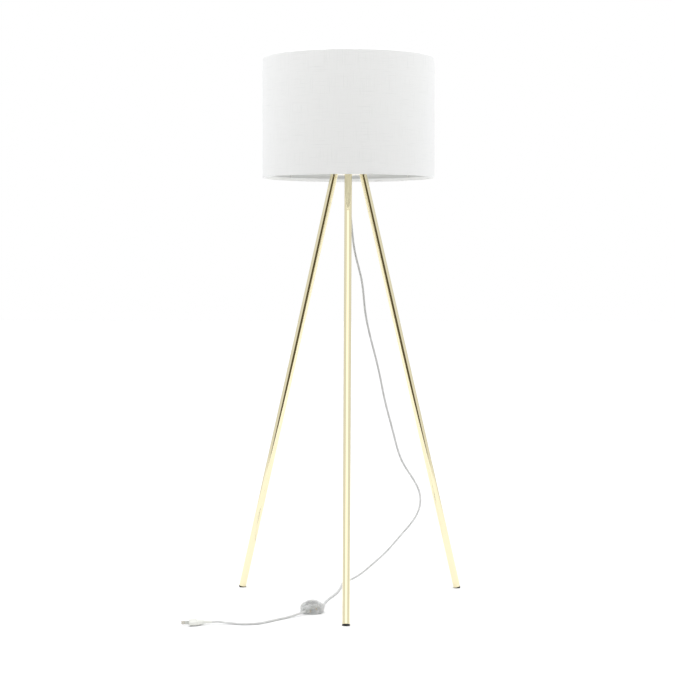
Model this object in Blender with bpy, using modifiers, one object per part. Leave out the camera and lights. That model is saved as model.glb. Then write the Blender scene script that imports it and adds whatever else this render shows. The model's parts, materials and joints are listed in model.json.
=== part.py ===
"""Tripod floor lamp with a drum shade, an E27 lampholder, a foot switch and a corded plug.

Metres, +Z up, standing on z = 0. The origin is under the middle of the stand and
shade together, so the lamp's own axis, which the empty "lamp_axis" marks, lies a
little behind it. The front leg points to -Y.
"""

import math

import bmesh
import bpy
import numpy as np
from mathutils import Vector

# Clearances
GAP = 0.0003  # between pieces that touch
MERGE = 0.00001  # merge distance of every modifier

# Stand
TUBE_DIAMETER = 0.019
TUBE_WALL = 0.0012
FOOT_RADIUS = 0.3395  # lamp axis to where a leg's axis meets the floor
LEG_TOP_RADIUS = 0.044  # lamp axis to a leg's axis at the hub plate's underside
LEG_AZIMUTHS = {"front": -90.0, "right": 30.0, "left": 150.0}
STUD_DIAMETER = 0.010
STUD_LENGTH = 0.022
SOCKET_LEAST_HEIGHT = 0.0015  # at the side where the hub plate comes nearest
INSERT_LENGTH = 0.020
PAD_THICKNESS = 0.004
PAD_STEM_LENGTH = 0.014
PAD_FLAT_DEPTH = 0.0028  # how far the floor flat cuts into the pad's inner edge
PAD_CHAMFER = 0.0008

# Hub
HUB_UNDERSIDE = 1.1185
HUB_DIAMETER = 0.098
HUB_THICKNESS = 0.004
HUB_CHAMFER = 0.0006
NIPPLE_DIAMETER = 0.010
NIPPLE_BORE = 0.007
NIPPLE_BELOW_NUT = 0.010
NUT_ACROSS_FLATS = 0.014
NUT_HEIGHT = 0.004
WASHER_DIAMETER = 0.018
WASHER_THICKNESS = 0.001
GRIP_DIAMETER = 0.016
GRIP_HEIGHT = 0.022
GRIP_SCREW_DIAMETER = 0.003
GRIP_SCREW_DROP = 0.004  # below the nipple's lower end
GRIP_SCREW_HEAD = 0.0012

# Lampholder, heights above its lower end
HOLDER_NECK_RADIUS = 0.008
HOLDER_NECK_HEIGHT = 0.006
HOLDER_RADIUS = 0.01975
HOLDER_WALL = 0.0022
CAP_SHOULDER = 0.016
CAP_HEIGHT = 0.024
CAP_BORE_HEIGHT = 0.008
BLOCK_BOTTOM = 0.016
BLOCK_TOP = 0.030
SLEEVE_BOTTOM = 0.032
SLEEVE_RADIUS = 0.0134  # inside the thread's widest turns
SLEEVE_THREAD_DEPTH = 0.0010
SLEEVE_PITCH = 0.0036
SLEEVE_TURNS = 6
SLEEVE_WALL = 0.0005
SLEEVE_PLAY = 0.0005
SHELL_TOP = 0.060
CONTACT_WIDTH = 0.005
CONTACT_WALL = 0.0006
CONTACT_RISE = 0.004
TERMINAL_RADIUS = 0.002
TERMINAL_OFFSET = 0.009
TERMINAL_LENGTH = 0.004
CLAMP_RING_WIDTH = 0.00875  # outside the lampholder
CLAMP_RING_HEIGHT = 0.008
CLAMP_RING_BOTTOM = 0.036

# Shade
SHADE_DIAMETER = 0.450
SHADE_HEIGHT = 0.311
SHADE_DROP = 0.0095  # of its lower edge below the hub plate's underside
SHADE_WALL = 0.0010
HEM_WALL = 0.0008
HEM_HEIGHT = 0.009
RIM_WIRE = 0.0035
ARM_WIRE = 0.0030
ARM_COUNT = 4
ARM_FIRST_AZIMUTH = 45.0
ARM_BEND = 0.010
CARRIER_PLAY = 0.00125  # round the lampholder
CARRIER_WIDTH = 0.0115
CARRIER_THICKNESS = 0.002
CARRIER_LAP = 0.0025  # how far an arm lies on the carrier ring
SHADE_SEGMENTS = 64

# Foot switch, heights above the floor
SWITCH_CENTRE = (-0.089, -0.181)  # from the lamp axis
SWITCH_AZIMUTH = 240.0  # direction in which the lower cord leaves
SWITCH_RADIUS = 0.0313
SWITCH_FOOT_INSET = 0.0033
SWITCH_WALL = 0.0020
BASE_FLOOR = 0.0035
BASE_CORNER = (0.0023, 0.003)  # bevel between the floor and the wall inside
BASE_HEIGHT = 0.0125
PORT_HEIGHT = 0.008
COVER_HEIGHT = 0.0150  # of the dome above the base
BUTTON_RADIUS = 0.0150
BUTTON_WALL = 0.0016
BUTTON_STANDS_PROUD = 0.0035
BUTTON_CROWN = 0.0015
BUTTON_FLANGE = 0.0016
BUTTON_TRAVEL = 0.003
COLLAR_DEPTH = 0.0065
SCREW_AZIMUTHS = (90.0, 210.0, 330.0)
SCREW_RADIUS = 0.0015
SCREW_HEAD_RADIUS = 0.0028
SCREW_HEAD_HEIGHT = 0.0015
SCREW_LENGTH = 0.0118
PILLAR_RADIUS = 0.0032
PILLAR_SHARE = 0.675  # of its free space that is on the button's side of a pillar
MECHANISM_RADIUS = 0.0095
MECHANISM_HEIGHT = 0.0062
SEAT_RADIUS = 0.0068
SEAT_HEIGHT = 0.0025
SPRING_WIRE = 0.0010
SPRING_FOOT_RADIUS = 0.0053
SPRING_TOP_RADIUS = 0.0018
SPRING_TURNS = 4
TERMINAL_BLOCK = (0.0055, 0.009, 0.0065)
TERMINAL_SPACE = 0.0045  # mechanism to a terminal block's middle
CLAMP_BLOCK = (0.006, 0.011, 0.0085)
CLAMP_INSET = 0.0058  # a clamp's middle to the inside of the wall
CORD_END_INSET = 0.0123  # a cord's end to the outside of the wall

# Cord and plug
CORD_DIAMETER = 0.0054
CORD_REST = 0.0030  # height of the cord's centre line where it lies on the floor
CORD_STEP = 0.0245  # between the points of a cord's tube
CORD_START_IN_GRIP = 0.0057  # above the grip's lower end
CORD_OUTLET = 0.004  # straight stretch of cord outside whatever holds it
CORD_LEAD = 0.012  # from there, before it bends away
UPPER_ROUTE = (  # from the cord grip to the foot switch, relative to the lamp axis
    (0.0055, 0.000, 1.010),
    (0.0180, 0.000, 0.910),
    (0.0347, 0.000, 0.8407),
    (0.0436, 0.000, 0.7618),
    (0.0599, 0.000, 0.683),
    (0.0797, 0.000, 0.604),
    (0.0960, 0.000, 0.525),
    (0.1165, 0.000, 0.4464),
    (0.1409, 0.008, 0.366),
    (0.1650, 0.030, 0.3245),
    (0.1869, 0.062, 0.280),
    (0.1905, 0.098, 0.236),
    (0.1734, 0.135, 0.190),
    (0.1405, 0.165, 0.145),
    (0.1050, 0.188, 0.100),
    (0.0600, 0.212, 0.054),
    (0.0270, 0.2315, 0.0240),
    (0.0078, 0.2362, 0.0118),
    (-0.0096, 0.2272, 0.0056),
    (-0.0196, 0.2084, 0.0036),
    (-0.0225, 0.1760, CORD_REST),
    (-0.0265, 0.1280, CORD_REST),
    (-0.0325, 0.0737, CORD_REST),
    (-0.0500, -0.005, CORD_REST),
    (-0.0600, -0.062, 0.0030),
    (-0.0620, -0.098, 0.0042),
    (-0.0610, -0.117, 0.0058),
)
LOWER_ROUTE = (  # from the foot switch to the plug
    (-0.1310, -0.2410, 0.0052),
    (-0.1480, -0.2580, 0.0034),
    (-0.1830, -0.2970, CORD_REST),
    (-0.2204, -0.3340, CORD_REST),
    (-0.2520, -0.3400, CORD_REST),
    (-0.2780, -0.3365, 0.0035),
    (-0.3000, -0.3340, 0.0053),
)
PLUG_FACE = (-0.3848, -0.3451)  # middle of the face that carries the pins
PLUG_AZIMUTH = 188.0
PLUG_WIDTH = 0.0353
PLUG_THICKNESS = 0.0137
PLUG_LENGTH = 0.036
PLUG_STRAIGHT = 0.012
PLUG_TAIL = 0.0105
PLUG_REST = 0.0071  # height of the plug's middle
RELIEF_LENGTH = 0.020
RELIEF_RADIUS = 0.0042
RELIEF_END_RADIUS = 0.0034
PIN_DIAMETER = 0.004
PIN_LENGTH = 0.019
PIN_SPACING = 0.0186

# Levels and places that follow from the sizes above
TUBE_RADIUS = TUBE_DIAMETER / 2
TUBE_BORE = TUBE_RADIUS - TUBE_WALL
LEG_TILT = math.atan2(FOOT_RADIUS - LEG_TOP_RADIUS, HUB_UNDERSIDE)
LEG_LENGTH = math.hypot(FOOT_RADIUS - LEG_TOP_RADIUS, HUB_UNDERSIDE)
PAD_BOTTOM = (TUBE_RADIUS * math.sin(LEG_TILT) - PAD_FLAT_DEPTH) / math.cos(LEG_TILT)
STAND_FRONT = (
    FOOT_RADIUS + TUBE_RADIUS * math.cos(LEG_TILT)
    - (PAD_BOTTOM + PAD_CHAMFER) * math.sin(LEG_TILT)
)
LAMP_AXIS_Y = (STAND_FRONT - max(SHADE_DIAMETER / 2, STAND_FRONT / 2)) / 2
TUBE_BOTTOM = PAD_BOTTOM + PAD_THICKNESS + GAP
SOCKET_BOTTOM = LEG_LENGTH - TUBE_RADIUS * math.tan(LEG_TILT) - SOCKET_LEAST_HEIGHT
TUBE_TOP = SOCKET_BOTTOM - GAP
HUB_TOP = HUB_UNDERSIDE + HUB_THICKNESS
NUT_BOTTOM = HUB_UNDERSIDE - GAP - NUT_HEIGHT
NIPPLE_BOTTOM = NUT_BOTTOM - NIPPLE_BELOW_NUT
GRIP_TOP = NUT_BOTTOM - GAP
GRIP_BOTTOM = GRIP_TOP - GRIP_HEIGHT
HOLDER_BASE = HUB_TOP + WASHER_THICKNESS + 2 * GAP
NIPPLE_TOP = HOLDER_BASE + CAP_BORE_HEIGHT - GAP
THREAD_HOLE = NIPPLE_DIAMETER / 2 + GAP
CORD_RADIUS = CORD_DIAMETER / 2
CORD_HOLE = CORD_RADIUS + GAP
CLAMP_RING_RADIUS = HOLDER_RADIUS + CLAMP_RING_WIDTH
CLAMP_RING_TOP = CLAMP_RING_BOTTOM + CLAMP_RING_HEIGHT
CARRIER_BOTTOM = HOLDER_BASE + CLAMP_RING_TOP + GAP
CARRIER_TOP = CARRIER_BOTTOM + CARRIER_THICKNESS
CARRIER_HOLE = HOLDER_RADIUS + CARRIER_PLAY
CARRIER_OUTER = CARRIER_HOLE + CARRIER_WIDTH
SHADE_BOTTOM = HUB_UNDERSIDE - SHADE_DROP
SHADE_TOP = SHADE_BOTTOM + SHADE_HEIGHT
SHADE_RADIUS = SHADE_DIAMETER / 2
RIM_WIRE_RADIUS = SHADE_RADIUS - SHADE_WALL - GAP - RIM_WIRE / 2
RIM_SLOT_RADIUS = RIM_WIRE / 2 + GAP
HEM_OUTER_RADIUS = (SHADE_WALL + 2 * RIM_SLOT_RADIUS + HEM_WALL) / 2
SWITCH_FOOT_RADIUS = SWITCH_RADIUS - SWITCH_FOOT_INSET
SWITCH_INSIDE = SWITCH_RADIUS - SWITCH_WALL
FLANGE_RADIUS = BUTTON_RADIUS + BUTTON_FLANGE
PILLAR_SPACE = SWITCH_INSIDE - BASE_CORNER[0] - FLANGE_RADIUS - 2 * PILLAR_RADIUS
SCREW_CIRCLE = FLANGE_RADIUS + PILLAR_SHARE * PILLAR_SPACE + PILLAR_RADIUS
TERMINAL_PLACE = MECHANISM_RADIUS + TERMINAL_SPACE
CLAMP_PLACE = SWITCH_INSIDE - CLAMP_INSET
CORD_END_RADIUS = SWITCH_RADIUS - CORD_END_INSET
COVER_BOTTOM = BASE_HEIGHT + GAP
COVER_TOP = COVER_BOTTOM + COVER_HEIGHT
COLLAR_BORE = BUTTON_RADIUS + GAP
COLLAR_BOTTOM = COVER_TOP - COLLAR_DEPTH
BUTTON_TOP = COVER_TOP + BUTTON_STANDS_PROUD
BUTTON_FLANGE_TOP = COLLAR_BOTTOM - GAP
SEAT_TOP = BASE_FLOOR + GAP + MECHANISM_HEIGHT + GAP + SEAT_HEIGHT
SPRING_FOOT = SEAT_TOP + GAP + SPRING_WIRE / 2
SPRING_TOP = BUTTON_TOP - BUTTON_WALL - GAP - SPRING_WIRE / 2


# Tools ------------------------------------------------------------------------------


def srgb(code):
    """Linear colour of an sRGB hex code."""
    channels = [int(code[i:i + 2], 16) / 255 for i in (0, 2, 4)]
    linear = [c / 12.92 if c <= 0.04045 else ((c + 0.055) / 1.055) ** 2.4 for c in channels]
    return (*linear, 1.0)


def make_material(name, code, roughness, metallic=0.0, transmission=0.0):
    material = bpy.data.materials.new(name)
    material.use_nodes = True
    shader = material.node_tree.nodes["Principled BSDF"]
    shader.inputs["Base Color"].default_value = srgb(code)
    shader.inputs["Roughness"].default_value = roughness
    shader.inputs["Metallic"].default_value = metallic
    shader.inputs["Transmission Weight"].default_value = transmission
    return material


def place(name, data, material=None, parent=None, collection=None):
    """An object for the data, in the lamp's collection unless another is given."""
    thing = bpy.data.objects.new(name, data)
    (collection or PARTS).objects.link(thing)
    thing.parent = parent
    if material:
        data.materials.append(material)
    return thing


def place_empty(name, parent, location, rotation):
    empty = place(name, None, parent=parent)
    empty.location = location
    empty.rotation_euler = rotation
    return empty


def arc(centre, radii, start, end, steps):
    """Points of an elliptic arc in the plane of radius and height, angles in degrees."""
    angles = [math.radians(start + (end - start) * i / steps) for i in range(steps + 1)]
    return [
        (centre[0] + radii[0] * math.cos(a), centre[1] + radii[1] * math.sin(a))
        for a in angles
    ]


def turned(name, profile, material, parent, segments=24, closed=True, collection=None):
    """The profile's (radius, height) points turned about local Z.

    The outer side runs from top to bottom. A closed profile is a ring's section;
    an open one starts and ends on the axis.
    """
    points = [(radius, 0.0, height) for radius, height in profile]
    edges = [(i, i + 1) for i in range(len(points) - 1)]
    if closed:
        edges.append((len(points) - 1, 0))
    mesh = bpy.data.meshes.new(name)
    mesh.from_pydata(points, edges, [])
    piece = place(name, mesh, material, parent, collection)
    screw = piece.modifiers.new("Turn", "SCREW")
    screw.steps = screw.render_steps = segments
    screw.use_merge_vertices = True
    screw.merge_threshold = MERGE
    screw.use_smooth_shade = True
    return piece


def ring(name, inner, outer, bottom, top, material, parent, segments=24, collection=None):
    """A plain ring, or with no inner radius a disc."""
    if not inner:
        profile = [(0.0, top), (outer, top), (outer, bottom), (0.0, bottom)]
    else:
        profile = [(outer, top), (outer, bottom), (inner, bottom), (inner, top)]
    return turned(name, profile, material, parent, segments, bool(inner), collection)


def box(name, size, centre, material, parent, collection=None):
    shape = bmesh.new()
    bmesh.ops.create_cube(shape, size=1.0)
    bmesh.ops.scale(shape, vec=size, verts=shape.verts)
    mesh = bpy.data.meshes.new(name)
    shape.to_mesh(mesh)
    shape.free()
    piece = place(name, mesh, material, parent, collection)
    piece.location = centre
    return piece


def wire_curve(name, points, diameter, material, parent):
    """A round wire, or a cord, along the points."""
    curve = bpy.data.curves.new(name, "CURVE")
    curve.dimensions = "3D"
    curve.bevel_depth = diameter / 2
    curve.bevel_resolution = 2
    curve.use_fill_caps = True
    spline = curve.splines.new("POLY")
    spline.points.add(len(points) - 1)
    for spot, point in zip(spline.points, points):
        spot.co = (*point, 1.0)
    return place(name, curve, material, parent)


def as_mesh(piece, collection):
    """The piece's evaluated mesh as a new object in the collection; the piece is removed."""
    bpy.context.view_layer.update()
    graph = bpy.context.evaluated_depsgraph_get()
    mesh = bpy.data.meshes.new_from_object(piece.evaluated_get(graph))
    shape = bmesh.new()
    shape.from_mesh(mesh)
    bmesh.ops.remove_doubles(shape, verts=shape.verts, dist=MERGE)
    shape.to_mesh(mesh)
    shape.free()
    name = piece.name
    matrix = piece.matrix_world.copy()
    bpy.data.objects.remove(piece)
    solid = place(name, mesh, collection=collection)
    solid.matrix_world = matrix
    return solid


def boolean(piece, tool, operation="DIFFERENCE"):
    tool.hide_render = True
    tool.display_type = "WIRE"
    modifier = piece.modifiers.new(tool.name, "BOOLEAN")
    modifier.operation = operation
    modifier.solver = "EXACT"
    modifier.object = tool


def smooth_route(route, step):
    """Points about a step apart on the natural cubic spline through the route."""
    knots = np.array([tuple(p) for p in route])
    times = np.concatenate([[0.0], np.cumsum(np.linalg.norm(np.diff(knots, axis=0), axis=1))])
    spans = np.diff(times)
    count = len(knots)
    system = np.eye(count)
    right = np.zeros_like(knots)
    for i in range(1, count - 1):
        system[i, i - 1:i + 2] = spans[i - 1], 2 * (spans[i - 1] + spans[i]), spans[i]
        slopes = np.diff(knots[i - 1:i + 2], axis=0) / spans[i - 1:i + 1, None]
        right[i] = 6 * (slopes[1] - slopes[0])
    bends = np.linalg.solve(system, right)

    def at(time):
        i = min(np.searchsorted(times, time, side="right") - 1, count - 2)
        after, before, span = time - times[i], times[i + 1] - time, spans[i]
        return (
            (bends[i] * before**3 + bends[i + 1] * after**3) / (6 * span)
            + (knots[i] / span - bends[i] * span / 6) * before
            + (knots[i + 1] / span - bends[i + 1] * span / 6) * after
        )

    number = max(2, round(times[-1] / step))
    return [Vector(at(times[-1] * i / number)) for i in range(number + 1)]


# Stand ------------------------------------------------------------------------------


def build_leg(side, azimuth, lamp_axis, floor_cutter, hub_cutter):
    """One leg about its own axis: local +Z runs up the tube from the floor."""
    angle = math.radians(azimuth)
    foot = (FOOT_RADIUS * math.cos(angle), FOOT_RADIUS * math.sin(angle), 0.0)
    leg = place_empty(f"leg_axis_{side}", lamp_axis, foot, (0.0, -LEG_TILT, angle))

    ring(f"leg_tube_{side}", TUBE_BORE, TUBE_RADIUS, TUBE_BOTTOM, TUBE_TOP, GOLD, leg)

    stem = TUBE_BORE - GAP
    stem_top = TUBE_BOTTOM + PAD_STEM_LENGTH
    pad = turned(
        f"foot_pad_{side}",
        [
            (0.0, stem_top),
            (stem - 0.001, stem_top),
            (stem, stem_top - 0.002),
            (stem, TUBE_BOTTOM - GAP),
            (TUBE_RADIUS, TUBE_BOTTOM - GAP),
            (TUBE_RADIUS, PAD_BOTTOM + PAD_CHAMFER),
            (TUBE_RADIUS - PAD_CHAMFER, PAD_BOTTOM),
            (0.0, PAD_BOTTOM),
        ],
        RUBBER, leg, closed=False,
    )
    boolean(pad, floor_cutter)

    stud = STUD_DIAMETER / 2
    socket = turned(
        f"leg_socket_{side}",
        [
            (0.0, LEG_LENGTH + TUBE_RADIUS),
            (TUBE_RADIUS, LEG_LENGTH + TUBE_RADIUS),
            (TUBE_RADIUS, SOCKET_BOTTOM),
            (stud, SOCKET_BOTTOM),
            (stud, SOCKET_BOTTOM - STUD_LENGTH + 0.001),
            (stud - 0.001, SOCKET_BOTTOM - STUD_LENGTH),
            (0.0, SOCKET_BOTTOM - STUD_LENGTH),
        ],
        GOLD, leg, closed=False,
    )
    boolean(socket, hub_cutter)

    ring(
        f"leg_insert_{side}", stud + GAP, TUBE_BORE - GAP,
        TUBE_TOP - INSERT_LENGTH, TUBE_TOP - GAP, STEEL, leg, 16,
    )


def build_stand(lamp_axis):
    reach = 2 * (FOOT_RADIUS + TUBE_DIAMETER)
    floor_cutter = box(
        "floor_cutter", (reach, reach, 0.04), (0.0, 0.0, -0.02), None, lamp_axis, CUTTERS
    )
    hub_cutter = box(
        "hub_cutter", (reach, reach, 0.06), (0.0, 0.0, HUB_UNDERSIDE - GAP + 0.03),
        None, lamp_axis, CUTTERS,
    )
    for side, azimuth in LEG_AZIMUTHS.items():
        build_leg(side, azimuth, lamp_axis, floor_cutter, hub_cutter)

    edge = HUB_DIAMETER / 2
    turned(
        "hub_plate",
        [
            (THREAD_HOLE, HUB_TOP),
            (edge - HUB_CHAMFER, HUB_TOP),
            (edge, HUB_TOP - HUB_CHAMFER),
            (edge, HUB_UNDERSIDE + HUB_CHAMFER),
            (edge - HUB_CHAMFER, HUB_UNDERSIDE),
            (THREAD_HOLE, HUB_UNDERSIDE),
        ],
        GOLD, lamp_axis, 40,
    )


def build_gland(lamp_axis):
    """The nipple through the hub plate, its nut and washer, and the cord grip."""
    thread = NIPPLE_DIAMETER / 2
    ring("nipple", NIPPLE_BORE / 2, thread, NIPPLE_BOTTOM, NIPPLE_TOP, STEEL, lamp_axis, 16)
    ring(
        "lock_washer", THREAD_HOLE, WASHER_DIAMETER / 2,
        HUB_TOP + GAP, HUB_TOP + GAP + WASHER_THICKNESS, STEEL, lamp_axis, 16,
    )

    corner = NUT_ACROSS_FLATS / 2 / math.cos(math.pi / 6)
    nut = ring(
        "nipple_nut", 0.0, corner, NUT_BOTTOM, NUT_BOTTOM + NUT_HEIGHT, STEEL, lamp_axis, 6
    )
    boolean(nut, ring(
        "nut_bore", 0.0, THREAD_HOLE, NUT_BOTTOM - 0.001, HUB_UNDERSIDE, None,
        lamp_axis, 24, CUTTERS,
    ))

    outer = GRIP_DIAMETER / 2
    grip = turned(
        "cord_grip",
        [
            (THREAD_HOLE, GRIP_TOP),
            (outer, GRIP_TOP),
            (outer, GRIP_BOTTOM + 0.005),
            (outer - 0.0025, GRIP_BOTTOM),
            (CORD_HOLE, GRIP_BOTTOM),
            (CORD_HOLE, NIPPLE_BOTTOM - GAP),
            (THREAD_HOLE, NIPPLE_BOTTOM - GAP),
        ],
        WHITE_PLASTIC, lamp_axis,
    )
    screw_height = NIPPLE_BOTTOM - GRIP_SCREW_DROP
    level = (-math.pi / 2, 0.0, 0.0)
    screw_axis = place_empty("grip_screw_axis", lamp_axis, (0.0, 0.0, screw_height), level)
    shank = GRIP_SCREW_DIAMETER / 2
    head = outer + GAP
    turned(
        "cord_grip_screw",
        [
            (0.0, head + GRIP_SCREW_HEAD),
            (2 * shank - 0.0004, head + GRIP_SCREW_HEAD),
            (2 * shank, head + GRIP_SCREW_HEAD - 0.0004),
            (2 * shank, head),
            (shank, head),
            (shank, CORD_HOLE),
            (0.0, CORD_HOLE),
        ],
        STEEL, screw_axis, 16, closed=False,
    )
    boolean(grip, ring(
        "grip_screw_bore", 0.0, shank + GAP, 0.0, GRIP_DIAMETER, None, screw_axis, 16, CUTTERS
    ))


# Lampholder -------------------------------------------------------------------------


def build_lampholder(lamp_axis):
    holder = place_empty("lampholder_axis", lamp_axis, (0.0, 0.0, HOLDER_BASE), (0.0, 0.0, 0.0))
    inside = HOLDER_RADIUS - HOLDER_WALL
    shoulder = (HOLDER_RADIUS - HOLDER_NECK_RADIUS, CAP_SHOULDER - HOLDER_NECK_HEIGHT)
    turned(
        "lampholder_cap",
        [(HOLDER_RADIUS, CAP_HEIGHT)]
        + arc((HOLDER_NECK_RADIUS, CAP_SHOULDER), shoulder, 0.0, -90.0, 5)
        + [
            (HOLDER_NECK_RADIUS, 0.0),
            (THREAD_HOLE, 0.0),
            (THREAD_HOLE, CAP_BORE_HEIGHT),
            (HOLDER_NECK_RADIUS, CAP_BORE_HEIGHT),
        ]
        + arc(
            (HOLDER_NECK_RADIUS, CAP_SHOULDER),
            (inside - HOLDER_NECK_RADIUS, CAP_SHOULDER - CAP_BORE_HEIGHT - 0.0005),
            -80.0, 0.0, 3,
        )
        + [(inside, CAP_HEIGHT)],
        WHITE_PLASTIC, holder,
    )

    block = inside - GAP
    turned(
        "contact_block",
        [
            (0.0, BLOCK_TOP),
            (block, BLOCK_TOP),
            (block, CAP_HEIGHT - 0.004),
            (block - 0.003, BLOCK_BOTTOM + 0.001),
            (block - 0.004, BLOCK_BOTTOM),
            (0.0, BLOCK_BOTTOM),
        ],
        CERAMIC, holder, closed=False,
    )

    bore = SLEEVE_RADIUS + SLEEVE_WALL + SLEEVE_PLAY
    turned(
        "lampholder_shell",
        [
            (HOLDER_RADIUS - 0.001, SHELL_TOP),
            (HOLDER_RADIUS, SHELL_TOP - 0.001),
            (HOLDER_RADIUS, CAP_HEIGHT + GAP),
            (inside, CAP_HEIGHT + GAP),
            (inside, BLOCK_TOP + GAP),
            (bore, BLOCK_TOP + GAP),
            (bore, SHELL_TOP - 0.001),
            (bore + 0.001, SHELL_TOP),
        ],
        WHITE_PLASTIC, holder,
    )

    half_pitch = SLEEVE_PITCH / 2
    thread = [
        (SLEEVE_RADIUS - SLEEVE_THREAD_DEPTH * (i % 2), SLEEVE_BOTTOM + half_pitch * i)
        for i in range(2 * SLEEVE_TURNS + 1)
    ]
    outer = [(radius + SLEEVE_WALL, height) for radius, height in reversed(thread)]
    turned("thread_sleeve", outer + thread, BRASS, holder, 16)

    strip = [(-0.010, 0.0), (-0.004, 0.0), (0.001, CONTACT_RISE), (0.005, CONTACT_RISE)]
    outline = strip + [(x, z + CONTACT_WALL) for x, z in reversed(strip)]
    curve = bpy.data.curves.new("centre_contact", "CURVE")
    curve.dimensions = "2D"
    curve.fill_mode = "BOTH"
    curve.extrude = CONTACT_WIDTH / 2
    spline = curve.splines.new("POLY")
    spline.use_cyclic_u = True
    spline.points.add(len(outline) - 1)
    for spot, (x, z) in zip(spline.points, outline):
        spot.co = (x, z, 0.0, 1.0)
    contact = place("centre_contact", curve, BRASS, holder)
    contact.location = (0.0, 0.0, BLOCK_TOP + GAP)
    contact.rotation_euler = (math.pi / 2, 0.0, 0.0)

    top = BLOCK_BOTTOM - GAP
    for pole, side in (("live", 1), ("neutral", -1)):
        screw = ring(
            f"terminal_screw_{pole}", 0.0, TERMINAL_RADIUS, top - TERMINAL_LENGTH, top,
            BRASS, holder, 12,
        )
        screw.location = (side * TERMINAL_OFFSET, 0.0, 0.0)

    bottoms = {
        "lower": CLAMP_RING_BOTTOM,
        "upper": CARRIER_TOP + GAP - HOLDER_BASE,
    }
    for level, bottom in bottoms.items():
        top = bottom + CLAMP_RING_HEIGHT
        turned(
            f"shade_ring_{level}",
            [
                (HOLDER_RADIUS + GAP, top),
                (CLAMP_RING_RADIUS - 0.0008, top),
                (CLAMP_RING_RADIUS, top - 0.0008),
                (CLAMP_RING_RADIUS, bottom + 0.0008),
                (CLAMP_RING_RADIUS - 0.0008, bottom),
                (HOLDER_RADIUS + GAP, bottom),
            ],
            WHITE_PLASTIC, holder,
        )

    lead_bottom = GRIP_BOTTOM + CORD_START_IN_GRIP + GAP
    lead_top = HOLDER_BASE + top_of_lead()
    ring("lampholder_lead", 0.0, CORD_RADIUS, lead_bottom, lead_top, CORD, lamp_axis, 12)


def top_of_lead():
    """The lead ends between the nipple and the terminal screws."""
    return BLOCK_BOTTOM - GAP - TERMINAL_LENGTH - GAP


# Shade ------------------------------------------------------------------------------


def hem(bottom, direction):
    """A rim's outer and inner curves and its hem strip, from the wall inwards.

    The direction is 1 for the lower rim and -1 for the upper one.
    """
    middle = (RIM_WIRE_RADIUS, bottom + direction * HEM_OUTER_RADIUS)
    outer_middle = (SHADE_RADIUS - HEM_OUTER_RADIUS, middle[1])
    outer = arc(outer_middle, (HEM_OUTER_RADIUS,) * 2, 0.0, -180.0 * direction, 4)
    inner = arc(middle, (RIM_SLOT_RADIUS,) * 2, -180.0 * direction, 0.0, 3)
    edge = bottom + direction * HEM_HEIGHT
    strip = [(outer[-1][0], edge), (inner[0][0], edge)]
    return outer + strip + inner


def build_shade(lamp_axis):
    lower = hem(SHADE_BOTTOM, 1)
    upper = hem(SHADE_TOP, -1)
    turned("shade_drum", lower + upper[::-1], TEXTILE, lamp_axis, SHADE_SEGMENTS)

    wire = RIM_WIRE / 2
    levels = {
        "bottom": SHADE_BOTTOM + HEM_OUTER_RADIUS,
        "top": SHADE_TOP - HEM_OUTER_RADIUS,
    }
    for rim, level in levels.items():
        section = arc((RIM_WIRE_RADIUS, level), (wire, wire), 60.0, -300.0, 6)[:-1]
        turned(f"shade_{rim}_ring", section, STEEL, lamp_axis, SHADE_SEGMENTS)

    spider = ring(
        "shade_spider", CARRIER_HOLE, CARRIER_OUTER, CARRIER_BOTTOM, CARRIER_TOP,
        WHITE_STEEL, lamp_axis, 32,
    )
    level = (CARRIER_BOTTOM + CARRIER_TOP) / 2
    bend = arc((RIM_WIRE_RADIUS - ARM_BEND, level - ARM_BEND), (ARM_BEND,) * 2, 90.0, 0.0, 4)
    path = [(CARRIER_OUTER - CARRIER_LAP, level)] + bend
    path.append((RIM_WIRE_RADIUS, levels["bottom"] + wire + GAP))
    for i in range(ARM_COUNT):
        arm = wire_curve(
            f"spider_arm_{i + 1}", [(x, 0.0, z) for x, z in path], ARM_WIRE, None, lamp_axis
        )
        arm.rotation_euler[2] = math.radians(ARM_FIRST_AZIMUTH + 360.0 * i / ARM_COUNT)
        boolean(spider, as_mesh(arm, CUTTERS), "UNION")


# Foot switch ------------------------------------------------------------------------


def switch_screw_places():
    for number, azimuth in enumerate(SCREW_AZIMUTHS, 1):
        angle = math.radians(azimuth)
        yield number, (SCREW_CIRCLE * math.cos(angle), SCREW_CIRCLE * math.sin(angle), 0.0)


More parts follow.
